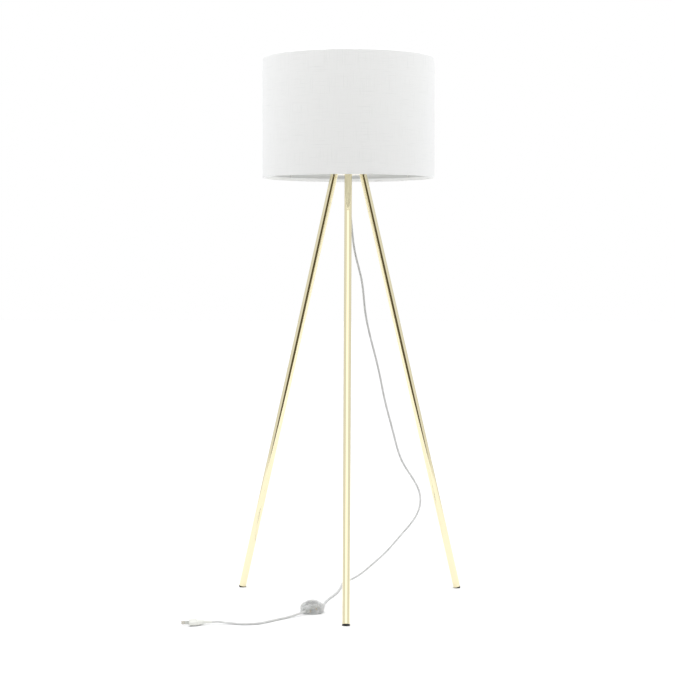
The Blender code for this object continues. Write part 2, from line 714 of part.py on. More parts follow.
def build_switch_housing(switch):
    base = turned(
        "switch_base",
        [
            (0.0, BASE_FLOOR),
            (SWITCH_INSIDE - BASE_CORNER[0], BASE_FLOOR),
            (SWITCH_INSIDE, BASE_FLOOR + BASE_CORNER[1]),
            (SWITCH_INSIDE, BASE_HEIGHT),
            (SWITCH_RADIUS, BASE_HEIGHT),
            (SWITCH_RADIUS, 0.006),
            (SWITCH_FOOT_RADIUS + 0.001, 0.001),
            (SWITCH_FOOT_RADIUS, 0.0),
            (0.0, 0.0),
        ],
        CLEAR, switch, 32, closed=False,
    )
    port_axis = place_empty("port_axis", switch, (0.0, 0.0, PORT_HEIGHT), (0.0, math.pi / 2, 0.0))
    reach = SWITCH_RADIUS + 0.01
    boolean(base, ring(
        "cord_ports", 0.0, CORD_HOLE, -reach, reach, None, port_axis, 16, CUTTERS
    ))

    dome = (SWITCH_RADIUS - COLLAR_BORE, COVER_HEIGHT)
    collar = COLLAR_BORE + 0.0015
    hollow = (SWITCH_INSIDE - collar, COVER_HEIGHT - SWITCH_WALL)
    cover = turned(
        "switch_cover",
        arc((COLLAR_BORE, COVER_BOTTOM), dome, 90.0, 0.0, 5)
        + arc((collar, COVER_BOTTOM), hollow, 0.0, 90.0, 4)
        + [(collar, COLLAR_BOTTOM), (COLLAR_BORE, COLLAR_BOTTOM)],
        CLEAR, switch, 32,
    )

    rim = (SCREW_CIRCLE + PILLAR_RADIUS - COLLAR_BORE) / dome[0]
    pillar_top = COVER_BOTTOM + dome[1] * math.sqrt(1 - rim * rim) - 0.0004
    head_seat = SCREW_HEAD_HEIGHT + GAP
    screw_top = head_seat - GAP + SCREW_LENGTH
    for number, spot in switch_screw_places():
        pillar = ring(
            f"pillar_{number}", 0.0, PILLAR_RADIUS, BASE_FLOOR + GAP, pillar_top, None,
            switch, 16, CUTTERS,
        )
        bore = ring(
            f"screw_bore_{number}", 0.0, SCREW_RADIUS + GAP, -0.001, screw_top + GAP, None,
            switch, 12, CUTTERS,
        )
        counterbore = ring(
            f"screw_counterbore_{number}", 0.0, SCREW_HEAD_RADIUS + GAP, -0.001, head_seat,
            None, switch, 16, CUTTERS,
        )
        boolean(cover, pillar, "UNION")
        boolean(cover, bore)
        boolean(base, bore)
        boolean(base, counterbore)
        screw = turned(
            f"switch_screw_{number}",
            [
                (0.0, screw_top),
                (SCREW_RADIUS, screw_top),
                (SCREW_RADIUS, head_seat - GAP),
                (SCREW_HEAD_RADIUS, head_seat - GAP),
                (SCREW_HEAD_RADIUS, GAP),
                (0.0, GAP),
            ],
            STEEL, switch, 12, closed=False,
        )
        for piece in (pillar, bore, counterbore, screw):
            piece.location = spot


def build_switch_button(switch):
    """The button's empty is on its sliding axis, at the top of the cover."""
    slide = place_empty("button_axis", switch, (0.0, 0.0, COVER_TOP), (0.0, 0.0, 0.0))
    top = BUTTON_TOP - COVER_TOP
    edge = top - BUTTON_CROWN
    flange_top = BUTTON_FLANGE_TOP - COVER_TOP
    inside = BUTTON_RADIUS - BUTTON_WALL
    turned(
        "switch_button",
        [(0.0, top), (BUTTON_RADIUS * 0.5, top - BUTTON_CROWN * 0.2)]
        + arc((BUTTON_RADIUS - 0.0015, edge - 0.0012), (0.0015, 0.0015), 70.0, 0.0, 2)
        + [
            (BUTTON_RADIUS, flange_top),
            (FLANGE_RADIUS, flange_top),
            (FLANGE_RADIUS, flange_top - BUTTON_FLANGE),
            (inside, flange_top - BUTTON_FLANGE),
            (inside, edge - BUTTON_WALL - 0.001),
            (inside - 0.001, edge - BUTTON_WALL),
            (0.0, top - BUTTON_WALL),
        ],
        CLEAR, slide, 32, closed=False,
    )


def build_switch_works(switch):
    floor = BASE_FLOOR + GAP
    mechanism_top = floor + MECHANISM_HEIGHT
    ring("switch_mechanism", 0.0, MECHANISM_RADIUS, floor, mechanism_top, STEEL, switch)
    ring(
        "switch_spring_seat", 0.0, SEAT_RADIUS, mechanism_top + GAP, SEAT_TOP,
        WHITE_PLASTIC, switch,
    )

    per_turn = 9
    count = SPRING_TURNS * per_turn
    coil = []
    for i in range(count + 1):
        share = i / count
        radius = SPRING_FOOT_RADIUS + (SPRING_TOP_RADIUS - SPRING_FOOT_RADIUS) * share
        angle = 2 * math.pi * i / per_turn
        height = SPRING_FOOT + (SPRING_TOP - SPRING_FOOT) * share
        coil.append((radius * math.cos(angle), radius * math.sin(angle), height))
    wire_curve("switch_spring", coil, SPRING_WIRE, DARK_STEEL, switch)

    port_axis = bpy.data.objects["port_axis"]
    tunnel = ring(
        "clamp_tunnel", 0.0, CORD_HOLE, -SWITCH_RADIUS, SWITCH_RADIUS, None, port_axis,
        16, CUTTERS,
    )
    for side, name in ((1, "out"), (-1, "in")):
        box(
            f"switch_terminal_{name}", TERMINAL_BLOCK,
            (side * TERMINAL_PLACE, 0.0, floor + TERMINAL_BLOCK[2] / 2), BRASS, switch,
        )
        clamp = box(
            f"switch_clamp_{name}", CLAMP_BLOCK,
            (side * CLAMP_PLACE, 0.0, floor + CLAMP_BLOCK[2] / 2), WHITE_PLASTIC, switch,
        )
        boolean(clamp, tunnel)


# Cord and plug ----------------------------------------------------------------------


def switch_point(radius):
    """A point on the switch's cord line, as far from its centre as the radius says."""
    angle = math.radians(SWITCH_AZIMUTH)
    x, y = SWITCH_CENTRE
    return (x + radius * math.cos(angle), y + radius * math.sin(angle), PORT_HEIGHT)


def plug_point(distance):
    """A point on the plug's middle line, that far behind its pin face."""
    angle = math.radians(PLUG_AZIMUTH)
    x, y = PLUG_FACE
    return (x - distance * math.cos(angle), y - distance * math.sin(angle), PLUG_REST)


def build_cords(lamp_axis):
    """Each cord runs straight where it is held, and between those places on a spline."""
    outlet = SWITCH_RADIUS + CORD_OUTLET
    lead = outlet + CORD_LEAD
    grip_outlet = GRIP_BOTTOM - CORD_OUTLET
    relief_end = PLUG_LENGTH + GAP + RELIEF_LENGTH + GAP
    relief_outlet = relief_end + CORD_OUTLET
    routes = {
        "cord_upper": (
            (0.0, 0.0, GRIP_BOTTOM + CORD_START_IN_GRIP),
            [(0.0, 0.0, grip_outlet), (0.0, 0.0, grip_outlet - CORD_LEAD), *UPPER_ROUTE]
            + [switch_point(-lead), switch_point(-outlet)],
            switch_point(-CORD_END_RADIUS),
        ),
        "cord_lower": (
            switch_point(CORD_END_RADIUS),
            [switch_point(outlet), switch_point(lead), *LOWER_ROUTE]
            + [plug_point(relief_outlet + CORD_LEAD), plug_point(relief_outlet)],
            plug_point(relief_end),
        ),
    }
    for name, (start, route, end) in routes.items():
        points = [start, *smooth_route(route, CORD_STEP), end]
        wire_curve(name, points, CORD_DIAMETER, CORD, lamp_axis)


def plug_sections(count):
    """The plug body's half widths and half thicknesses, from the pin face backwards."""
    half_width, half_thickness, tail = PLUG_WIDTH / 2, PLUG_THICKNESS / 2, PLUG_TAIL / 2
    yield 0.0, half_width - 0.001, half_thickness - 0.001
    yield 0.001, half_width, half_thickness
    for i in range(count + 1):
        share = i / count
        ease = (1 + math.cos(math.pi * share)) / 2
        back = PLUG_STRAIGHT + (PLUG_LENGTH - PLUG_STRAIGHT) * share
        yield back, tail + (half_width - tail) * ease, tail + (half_thickness - tail) * ease


def build_plug(lamp_axis):
    """A flat two-pin plug lying on the floor; local +X points along the pins."""
    spot = (*PLUG_FACE, PLUG_REST)
    turn = math.radians(PLUG_AZIMUTH)
    plug = place_empty("plug_axis", lamp_axis, spot, (0.0, 0.0, turn))

    around = 20
    shape = bmesh.new()
    loops = []
    for back, half_width, half_thickness in plug_sections(6):
        loop = []
        for i in range(around):
            angle = 2 * math.pi * i / around
            across, up = math.cos(angle), math.sin(angle)
            y = half_width * math.copysign(abs(across) ** 0.8, across)
            z = half_thickness * math.copysign(abs(up) ** 0.6, up)
            loop.append(shape.verts.new((-back, y, z)))
        loops.append(loop)
    for loop, following in zip(loops, loops[1:]):
        for i in range(around):
            j = (i + 1) % around
            shape.faces.new((loop[i], following[i], following[j], loop[j]))
    shape.faces.new(loops[0])
    shape.faces.new(loops[-1][::-1])
    bmesh.ops.recalc_face_normals(shape, faces=shape.faces)
    mesh = bpy.data.meshes.new("plug_body")
    shape.to_mesh(mesh)
    shape.free()
    place("plug_body", mesh, CLEAR, plug)

    backwards = place_empty("relief_axis", plug, (0.0, 0.0, 0.0), (0.0, -math.pi / 2, 0.0))
    near = PLUG_LENGTH + GAP
    far = near + RELIEF_LENGTH
    turned(
        "plug_relief",
        [(0.0, far), (RELIEF_END_RADIUS, far), (RELIEF_RADIUS, near), (0.0, near)],
        CLEAR, backwards, 16, closed=False,
    )

    forwards = place_empty("pin_axis", plug, (GAP, 0.0, 0.0), (0.0, math.pi / 2, 0.0))
    pin = PIN_DIAMETER / 2
    for pole, side in (("live", 1), ("neutral", -1)):
        piece = turned(
            f"plug_pin_{pole}",
            [(0.0, PIN_LENGTH)]
            + arc((0.0, PIN_LENGTH - pin), (pin, pin), 60.0, 0.0, 2)
            + [(pin, 0.0), (0.0, 0.0)],
            BRASS, forwards, 12, closed=False,
        )
        piece.location = (0.0, side * PIN_SPACING / 2, 0.0)


# The lamp ---------------------------------------------------------------------------


def clear_scene():
    for thing in list(bpy.data.objects):
        bpy.data.objects.remove(thing)


def new_collection(name):
    collection = bpy.data.collections.new(name)
    bpy.context.scene.collection.children.link(collection)
    return collection


clear_scene()
PARTS = new_collection("tripod_floor_lamp")
CUTTERS = new_collection("cutters")

GOLD = make_material("polished_gold", "E6D3A0", 0.08, metallic=1.0)
BRASS = make_material("brass", "D9B45C", 0.25, metallic=1.0)
STEEL = make_material("zinc_steel", "B9BCBE", 0.35, metallic=1.0)
DARK_STEEL = make_material("spring_steel", "34312E", 0.35, metallic=1.0)
WHITE_STEEL = make_material("white_coated_steel", "EDEDEB", 0.4)
RUBBER = make_material("black_rubber", "141312", 0.6)
WHITE_PLASTIC = make_material("white_plastic", "EEEEEC", 0.35)
CERAMIC = make_material("white_ceramic", "F1F0EC", 0.25)
TEXTILE = make_material("white_textile", "F2F2F0", 0.9)
CLEAR = make_material("clear_plastic", "F2F5F4", 0.08, transmission=0.9)
CORD = make_material("clear_cord", "C6C8C4", 0.35)


def build_lamp():
    lamp_axis = place_empty("lamp_axis", None, (0.0, LAMP_AXIS_Y, 0.0), (0.0, 0.0, 0.0))
    build_stand(lamp_axis)
    build_gland(lamp_axis)
    build_lampholder(lamp_axis)
    build_shade(lamp_axis)
    turn = math.radians(SWITCH_AZIMUTH)
    switch = place_empty("switch_axis", lamp_axis, (*SWITCH_CENTRE, 0.0), (0.0, 0.0, turn))
    build_switch_housing(switch)
    build_switch_button(switch)
    build_switch_works(switch)
    build_cords(lamp_axis)
    build_plug(lamp_axis)
    bpy.context.view_layer.update()


build_lamp()
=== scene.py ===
"""Looks of a tripod floor lamp with a drum shade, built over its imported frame.

Metres, +Z up. The front leg points to -Y. Each operator makes one group of pieces, in
place and riding on its body, and main() calls them in order.
"""

import json
import math

import bmesh
import bpy
import numpy as np
from bpy.props import FloatProperty, IntProperty, PointerProperty, StringProperty
from mathutils import Matrix, Vector

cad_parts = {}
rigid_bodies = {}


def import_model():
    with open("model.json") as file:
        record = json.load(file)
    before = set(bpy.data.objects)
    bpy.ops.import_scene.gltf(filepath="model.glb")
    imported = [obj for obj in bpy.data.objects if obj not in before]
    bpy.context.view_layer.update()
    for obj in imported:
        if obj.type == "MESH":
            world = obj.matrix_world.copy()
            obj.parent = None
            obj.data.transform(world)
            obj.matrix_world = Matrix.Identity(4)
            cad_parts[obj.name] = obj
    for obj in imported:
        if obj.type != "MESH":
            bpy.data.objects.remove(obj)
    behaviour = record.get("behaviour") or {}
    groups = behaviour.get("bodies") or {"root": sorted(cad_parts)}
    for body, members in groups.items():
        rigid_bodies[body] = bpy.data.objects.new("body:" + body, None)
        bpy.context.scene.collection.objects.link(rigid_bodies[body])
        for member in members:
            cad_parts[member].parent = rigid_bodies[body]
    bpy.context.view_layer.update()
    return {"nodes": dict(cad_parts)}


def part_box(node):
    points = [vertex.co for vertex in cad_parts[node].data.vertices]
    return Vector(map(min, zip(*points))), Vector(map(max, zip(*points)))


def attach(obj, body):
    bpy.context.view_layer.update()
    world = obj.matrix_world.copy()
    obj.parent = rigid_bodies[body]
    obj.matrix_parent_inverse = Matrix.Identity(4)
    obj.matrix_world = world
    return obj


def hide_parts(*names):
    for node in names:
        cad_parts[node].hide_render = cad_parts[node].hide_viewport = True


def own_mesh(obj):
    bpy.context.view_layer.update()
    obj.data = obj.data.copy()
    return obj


bl_info = {
    "name": "Tripod Floor Lamp",
    "version": (1, 0, 0),
    "blender": (4, 5, 0),
    "location": "View3D > Sidebar > Lamp",
    "description": "Finishes a tripod floor lamp with a drum shade over its frame",
    "category": "Object",
}

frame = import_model()
BODY = "lamp"
BUTTON_BODY = "button"

# Heights and radii of the frame's nodes ----------------------------------------------


def middle(node):
    low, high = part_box(node)
    return (low + high) / 2


def radius_of(node):
    low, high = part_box(node)
    return (high.x - low.x) / 2


def foot_and_height(node):
    """Height of a node's lower end, and how tall the node is."""
    low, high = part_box(node)
    return low.z, high.z - low.z


def on_axis(height=0.0):
    """Matrix that takes a piece to the lamp's axis, at a height."""
    return Matrix.Translation((AXIS.x, AXIS.y, height))


AXIS = Vector((middle("hub_plate").x, middle("hub_plate").y, 0.0))
HUB_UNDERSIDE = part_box("hub_plate")[0].z
SHADE_RADIUS = radius_of("shade_drum")
SHADE_BOTTOM, SHADE_TOP = (corner.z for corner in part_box("shade_drum"))
SWITCH = Vector((middle("switch_base").x, middle("switch_base").y, 0.0))
GAP = 0.0003  # between pieces that touch
NIPPLE_HOLE = 0.0053  # radius of the holes that the nipple passes through

# The cord's route, the same as its solids follow --------------------------------------

CORD_DIAMETER = 0.0054
CORD_REST = 0.0030  # height of the cord's centre line where it lies on the floor
CORD_STEP = 0.005  # between the points of a cord's curve
CORD_START_IN_GRIP = 0.0057  # above the grip's lower end
CORD_OUTLET = 0.004  # straight stretch of cord outside whatever holds it
CORD_LEAD = 0.012  # from there, before it bends away
CORD_END_INSET = 0.0123  # a cord's end to the outside of the switch's wall
SWITCH_AZIMUTH = 240.0  # direction in which the lower cord leaves
PORT_HEIGHT = 0.008  # of the holes where the cords enter the foot switch
PORT_DIAMETER = CORD_DIAMETER + 2 * GAP
UPPER_ROUTE = (  # from the cord grip to the foot switch, relative to the lamp axis
    (0.0055, 0.000, 1.010),
    (0.0180, 0.000, 0.910),
    (0.0347, 0.000, 0.8407),
    (0.0436, 0.000, 0.7618),
    (0.0599, 0.000, 0.683),
    (0.0797, 0.000, 0.604),
    (0.0960, 0.000, 0.525),
    (0.1165, 0.000, 0.4464),
    (0.1409, 0.008, 0.366),
    (0.1650, 0.030, 0.3245),
    (0.1869, 0.062, 0.280),
    (0.1905, 0.098, 0.236),
    (0.1734, 0.135, 0.190),
    (0.1405, 0.165, 0.145),
    (0.1050, 0.188, 0.100),
    (0.0600, 0.212, 0.054),
    (0.0270, 0.2315, 0.0240),
    (0.0078, 0.2362, 0.0118),
    (-0.0096, 0.2272, 0.0056),
    (-0.0196, 0.2084, 0.0036),
    (-0.0225, 0.1760, CORD_REST),
    (-0.0265, 0.1280, CORD_REST),
    (-0.0325, 0.0737, CORD_REST),
    (-0.0500, -0.005, CORD_REST),
    (-0.0600, -0.062, 0.0030),
    (-0.0620, -0.098, 0.0042),
    (-0.0610, -0.117, 0.0058),
)
LOWER_ROUTE = (  # from the foot switch to the plug
    (-0.1310, -0.2410, 0.0052),
    (-0.1480, -0.2580, 0.0034),
    (-0.1830, -0.2970, CORD_REST),
    (-0.2204, -0.3340, CORD_REST),
    (-0.2520, -0.3400, CORD_REST),
    (-0.2780, -0.3365, 0.0035),
    (-0.3000, -0.3340, 0.0053),
)
PLUG_FACE = (-0.3848, -0.3451)  # middle of the face that carries the pins
PLUG_AZIMUTH = 188.0
PLUG_REST = 0.0071  # height of the plug's middle
PLUG_LENGTH = 0.036
RELIEF_LENGTH = 0.020

# Camera, from the lamp's axis ---------------------------------------------------------

CAMERA_DISTANCE = 4.6
CAMERA_HEIGHT = 0.888
CAMERA_AZIMUTH = 1.0
CAMERA_YAW = 0.36  # left of the lamp's axis
CAMERA_PITCH = 2.44  # downwards
CAMERA_LENS = 93.5

# Light round the sweep: turn from the camera's side and rise, each as centre, half width
# and soft edge in degrees, then the light's linear colour; later ones lie over earlier ones
LIGHT_REGIONS = (
    ((0.0, 181.0, 1.0), (0.0, 90.0, 1.0), (0.87, 0.87, 0.87)),
    ((0.0, 70.0, 25.0), (20.0, 40.0, 20.0), (0.82, 0.82, 0.82)),
    ((118.0, 6.0, 6.0), (10.0, 60.0, 10.0), (0.62, 0.62, 0.62)),
    ((-118.0, 6.0, 6.0), (10.0, 60.0, 10.0), (0.62, 0.62, 0.62)),
    ((0.0, 33.0, 4.0), (22.0, 10.0, 1.5), (1.4, 1.39, 1.36)),
    ((0.0, 33.0, 4.0), (-24.0, 24.0, 2.0), (0.10, 0.085, 0.055)),
    ((0.0, 181.0, 1.0), (90.0, 30.0, 12.0), (1.87, 1.87, 1.87)),
)


# Settings that a user may change ------------------------------------------------------


class LampStudio(bpy.types.PropertyGroup):
    """Light and floor."""

    backdrop: FloatProperty(
        name="Backdrop", description="Brightness of the white backdrop", default=1.0,
        min=0.0,
    )
    overhead: FloatProperty(
        name="Overhead Light", description="Power of the soft light above", default=24.0,
        min=0.0, unit="POWER",
    )
    floor_colour: StringProperty(
        name="Floor Colour", description="sRGB hex colour of the paper floor",
        default="F4F4F5",
    )


class LampStand(bpy.types.PropertyGroup):
    """Legs and hub plate."""

    plate_colour: StringProperty(
        name="Plating Colour", description="sRGB hex colour of the gold plating",
        default="F2E9C6",
    )
    edge_round: FloatProperty(
        name="Edge Rounding", description="Radius of the tubes' and the plate's edges",
        default=0.0003, min=0.0, unit="LENGTH", precision=5,
    )


class LampShade(bpy.types.PropertyGroup):
    """Fabric, lining and seam of the shade."""

    fabric_colour: StringProperty(
        name="Fabric Colour", description="sRGB hex colour of the shade's cloth",
        default="FAFBFB",
    )
    thread_spacing: FloatProperty(
        name="Thread Spacing", description="Distance between threads as drawn",
        default=0.0008, min=0.0001, unit="LENGTH", precision=5,
    )
    fabric_thickness: FloatProperty(
        name="Fabric Thickness", description="Thickness of the cloth",
        default=0.0004, min=0.0001, unit="LENGTH", precision=5,
    )
    lap_width: FloatProperty(
        name="Seam Overlap", description="Width of the glued overlap at the back",
        default=0.011, min=0.0, unit="LENGTH", precision=4,
    )


class LampFittings(bpy.types.PropertyGroup):
    """Lampholder, cord grip, cord, foot switch and plug."""

    plastic_colour: StringProperty(
        name="Lampholder Colour", description="sRGB hex colour of the white mouldings",
        default="EDEDE8",
    )
    cord_colour: StringProperty(
        name="Cord Colour",
        description="sRGB hex colour of the cord through its clear sheath",
        default="D2D3D2",
    )
    ring_ribs: IntProperty(
        name="Ring Ribs", description="Grip ribs round each shade ring", default=30, min=3
    )
    grip_ribs: IntProperty(
        name="Grip Ribs", description="Grip ribs round the cord grip", default=12, min=3
    )


# Outlines and meshes ------------------------------------------------------------------


def rounded(corners, closed=True, steps=3):
    """Points of an outline whose corners, (x, y, radius), are rounded off.

    A point more on each side of a corner keeps the shading of the straight runs flat.
    """
    points = []
    for i, (x, y, radius) in enumerate(corners):
        here = Vector((x, y))
        if not radius or (not closed and i in (0, len(corners) - 1)):
            points.append((x, y))
            continue
        before = Vector(corners[i - 1][:2]) - here
        after = Vector(corners[(i + 1) % len(corners)][:2]) - here
        reach = radius / math.tan(before.angle(after) / 2)
        reach = min(reach, before.length * 0.49, after.length * 0.49)
        start = here + before.normalized() * reach
        end = here + after.normalized() * reach
        if before.length > 4 * reach:
            points.append(tuple(here + before.normalized() * reach * 1.8))
        for k in range(steps + 1):
            t = k / steps
            curved = (1 - t) ** 2 * start + 2 * t * (1 - t) * here + t * t * end
            points.append(tuple(curved))
        if after.length > 4 * reach:
            points.append(tuple(here + after.normalized() * reach * 1.8))
    return points


def arc(centre, radii, start, end, steps):
    """Points of an elliptic arc, angles in degrees."""
    angles = [math.radians(start + (end - start) * i / steps) for i in range(steps + 1)]
    return [
        (centre[0] + radii[0] * math.cos(a), centre[1] + radii[1] * math.sin(a))
        for a in angles
    ]


def linked(name, data):
    """A new object of the data, in the scene."""
    made = bpy.data.objects.new(name, data)
    bpy.context.scene.collection.objects.link(made)
    return made


def mark_sharp(shape, sharp):
    """Edges that turn by more than the angle in degrees are shaded hard."""
    limit = math.radians(sharp)
    for edge in shape.edges:
        edge.smooth = edge.calc_face_angle(0.0) < limit


def new_piece(name, shape, sharp=32.0):
    """An object from the bmesh, smooth except at edges sharper than the angle."""
    bmesh.ops.recalc_face_normals(shape, faces=shape.faces)
    mark_sharp(shape, sharp)
    for face in shape.faces:
        face.smooth = True
    mesh = bpy.data.meshes.new(name)
    shape.to_mesh(mesh)
    shape.free()
    return linked(name, mesh)


def skin(shape, rings, wrap=True):
    """Faces between rings of vertices that follow one another; a ring may be one vertex."""
    for ring, following in zip(rings, rings[1:]):
        count = max(len(ring), len(following))
        for i in range(count if wrap else count - 1):
            j = i + 1
            loop = [
                ring[i % len(ring)], ring[j % len(ring)],
                following[j % len(following)], following[i % len(following)],
            ]
            loop = list(dict.fromkeys(loop))
            if len(loop) > 2:
                shape.faces.new(loop)


def turned_shape(profile, segments=96, closed=True, swell=None, angles=None):
    """A bmesh of the (radius, height) outline turned about Z, its UVs in metres.

    swell gives what is added to the radius at an angle, a radius and a height.
    """
    shape = bmesh.new()
    angles = angles or [2 * math.pi * i / segments for i in range(segments)]
    rings = []
    for radius, height in profile:
        if radius < 1e-6:
            rings.append([shape.verts.new((0.0, 0.0, height))])
            continue
        ring = []
        for angle in angles:
            r = radius + (swell(angle, radius, height) if swell else 0.0)
            ring.append(shape.verts.new((r * math.cos(angle), r * math.sin(angle), height)))
        rings.append(ring)
    skin(shape, rings + rings[:1] if closed else rings)

    widest = max(radius for radius, height in profile)
    run = [0.0]
    for a, b in zip(profile, profile[1:] + profile[:1]):
        run.append(run[-1] + math.dist(a, b))
    place = {}
    for k, ring in enumerate(rings):
        for i, vert in enumerate(ring):
            place[vert] = (i, k)
    layer = shape.loops.layers.uv.new("UVMap")
    for face in shape.faces:
        rows = [place[loop.vert][1] for loop in face.loops]
        columns = [place[loop.vert][0] for loop in face.loops]
        for loop in face.loops:
            i, k = place[loop.vert]
            turn = angles[i] if len(rings[k]) > 1 else angles[max(columns)]
            if max(columns) - min(columns) > 1 and i == 0 and len(rings[k]) > 1:
                turn += 2 * math.pi
            along = run[-1] if k == 0 and max(rows) - min(rows) > 1 else run[k]
            loop[layer].uv = (turn * widest, along)
    return shape


def turned(name, profile, segments=96, closed=True, sharp=32.0, swell=None, angles=None):
    """The outline turned about Z, as a piece."""
    return new_piece(name, turned_shape(profile, segments, closed, swell, angles), sharp)


def turned_solid(name, corners, segments=96, steps=3, swell=None):
    """A piece whose outline, with its corners rounded, runs from the axis back to it."""
    outline = rounded(corners, closed=False, steps=steps)
    return turned(name, outline, segments, closed=False, swell=swell)


def turned_ring(name, corners, segments=96, steps=3, swell=None):
    """A piece whose outline, with its corners rounded, closes round a hole."""
    return turned(name, rounded(corners, steps=steps), segments, swell=swell)


def fluted(count, depth, radius, low, high):
    """A swell that cuts hollows round an outline's widest part between two heights."""

    def swell(angle, r, height):
        if r < radius - 1e-5 or not low <= height <= high:
            return 0.0
        return -depth * (0.5 + 0.5 * math.cos(count * angle)) ** 2

    return swell


def threaded(depth, pitch, low, high, least=0.0):
    """A swell that turns a helical thread into an outline between two heights."""

    def swell(angle, r, height):
        if r < least or not low <= height <= high:
            return 0.0
        ease = min(1.0, (height - low) / pitch, (high - height) / pitch)
        return -depth * ease * (0.5 - 0.5 * math.cos(2 * math.pi * height / pitch - angle))

    return swell


def upright(radius, low, high, step):
    """Points down a straight side, close enough together to carry a thread."""
    count = max(1, round(abs(high - low) / step))
    return [(radius, low + (high - low) * i / count) for i in range(count + 1)]


def tube_along(name, paths, diameter, resolution):
    """A curve object with a round section along each path."""
    curve = bpy.data.curves.new(name, "CURVE")
    curve.dimensions = "3D"
    curve.bevel_depth = diameter / 2
    curve.bevel_resolution = resolution
    curve.use_fill_caps = True
    for path in paths:
        spline = curve.splines.new("POLY")
        spline.points.add(len(path) - 1)
        spline.use_smooth = True
        for spot, point in zip(spline.points, path):
            spot.co = (*point, 1.0)
    return linked(name, curve)


def wire(name, paths, diameter, sides=12):
    """A mesh of round wire along each path."""
    draft = tube_along(name, paths, diameter, max(0, sides // 4 - 1))
    mesh = evaluated_mesh(draft)
    bpy.data.objects.remove(draft)
    shape = bmesh.new()
    shape.from_mesh(mesh)
    bmesh.ops.remove_doubles(shape, verts=shape.verts, dist=1e-6)
    bpy.data.meshes.remove(mesh)
    return new_piece(name, shape, 50.0)


def evaluated_mesh(piece):
    """A new mesh of the piece with its modifiers or its curve's section applied."""
    bpy.context.view_layer.update()
    graph = bpy.context.evaluated_depsgraph_get()
    return bpy.data.meshes.new_from_object(piece.evaluated_get(graph))


def carve(piece, cutters, operation="DIFFERENCE", sharp=32.0):
    """The cutters are taken out of the piece, or added to it, and removed."""
    for cutter in cutters:
        modifier = piece.modifiers.new(cutter.name, "BOOLEAN")
        modifier.operation = operation
        modifier.solver = "EXACT"
        modifier.object = cutter
    mesh = evaluated_mesh(piece)
    piece.modifiers.clear()
    for cutter in cutters:
        bpy.data.objects.remove(cutter)
    shape = bmesh.new()
    shape.from_mesh(mesh)
    bpy.data.meshes.remove(mesh)
    mark_sharp(shape, sharp)
    shape.to_mesh(piece.data)
    shape.free()
    return piece


def joined(name, pieces):
    """One piece made of several, which are removed."""
    shape = bmesh.new()
    for piece in pieces:
        bpy.context.view_layer.update()
        part = piece.data.copy()
        part.transform(piece.matrix_world)
        shape.from_mesh(part)
        bpy.data.objects.remove(piece)
    return new_piece(name, shape)


def block(name, size, edge=0.0004):
    """A moulded block about its middle, with bevelled edges."""
    shape = bmesh.new()
    bmesh.ops.create_cube(shape, size=1.0)
    bmesh.ops.scale(shape, vec=size, verts=shape.verts)
    bmesh.ops.bevel(shape, geom=shape.edges, offset=edge, segments=2, affect="EDGES")
    return new_piece(name, shape)


def smooth_route(route, step):
    """Points about a step apart on the natural cubic spline through the route."""
    knots = np.array([tuple(p) for p in route])
    lengths = np.linalg.norm(np.diff(knots, axis=0), axis=1)
    times = np.concatenate([[0.0], np.cumsum(lengths)])
    spans = np.diff(times)
    count = len(knots)
    system = np.eye(count)
    right = np.zeros_like(knots)
    for i in range(1, count - 1):
        system[i, i - 1:i + 2] = spans[i - 1], 2 * (spans[i - 1] + spans[i]), spans[i]
        slopes = np.diff(knots[i - 1:i + 2], axis=0) / spans[i - 1:i + 1, None]
        right[i] = 6 * (slopes[1] - slopes[0])
    bends = np.linalg.solve(system, right)

    def at(time):
        i = min(np.searchsorted(times, time, side="right") - 1, count - 2)
        after, before, span = time - times[i], times[i + 1] - time, spans[i]
        return (
            (bends[i] * before**3 + bends[i + 1] * after**3) / (6 * span)
            + (knots[i] / span - bends[i] * span / 6) * before
            + (knots[i + 1] / span - bends[i + 1] * span / 6) * after
        )

    number = max(2, round(times[-1] / step))
    return [Vector(at(times[-1] * i / number)) for i in range(number + 1)]


def line_of(node):
    """Matrix that takes Z to a turned node's own line, from its lower end; its length."""
    points = np.array([v.co for v in frame["nodes"][node].data.vertices])
    centre = (points.min(0) + points.max(0)) / 2
    direction = np.linalg.svd(points - centre, full_matrices=False)[2][0]
    direction = direction if direction[2] > 0 else -direction
    reach = (points - centre) @ direction
    start = Vector(centre + direction * reach.min())
    turn = Vector(direction).to_track_quat("Z", "Y").to_matrix().to_4x4()
    return Matrix.Translation(start) @ turn, reach.max() - reach.min()


def switch_frame():
    """Matrix of the foot switch, its local X along the cord's line."""
    turn = Matrix.Rotation(math.radians(SWITCH_AZIMUTH), 4, "Z")
    return Matrix.Translation(SWITCH) @ turn


def plug_frame():
    """Matrix of the plug, its local X along the pins."""
    spot = AXIS + Vector((*PLUG_FACE, PLUG_REST))
    return Matrix.Translation(spot) @ Matrix.Rotation(math.radians(PLUG_AZIMUTH), 4, "Z")


def dress(piece, material, slot, *nodes, at=None, body=BODY):
    """The piece is placed, finished and rides on its body, and the CAD nodes that it stands
    in for are hidden.
    """
    if at is not None:
        piece.data.transform(at)
    if material:
        piece.data.materials.append(material)
    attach(piece, body)
    if nodes:
        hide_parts(*nodes)
    return piece


# Materials ----------------------------------------------------------------------------

NOISE = "ShaderNodeTexNoise"
SPREAD = "ShaderNodeMapRange"
BLEND = "ShaderNodeMix"
RELIEF = "ShaderNodeBump"
STRETCH = "ShaderNodeMapping"
MATHS = "ShaderNodeMath"


def linear(code):
    """Linear colour of an sRGB hex code."""
    channels = [int(code[i:i + 2], 16) / 255 for i in (0, 2, 4)]
    values = [c / 12.92 if c <= 0.04045 else ((c + 0.055) / 1.055) ** 2.4 for c in channels]
    return (*values, 1.0)


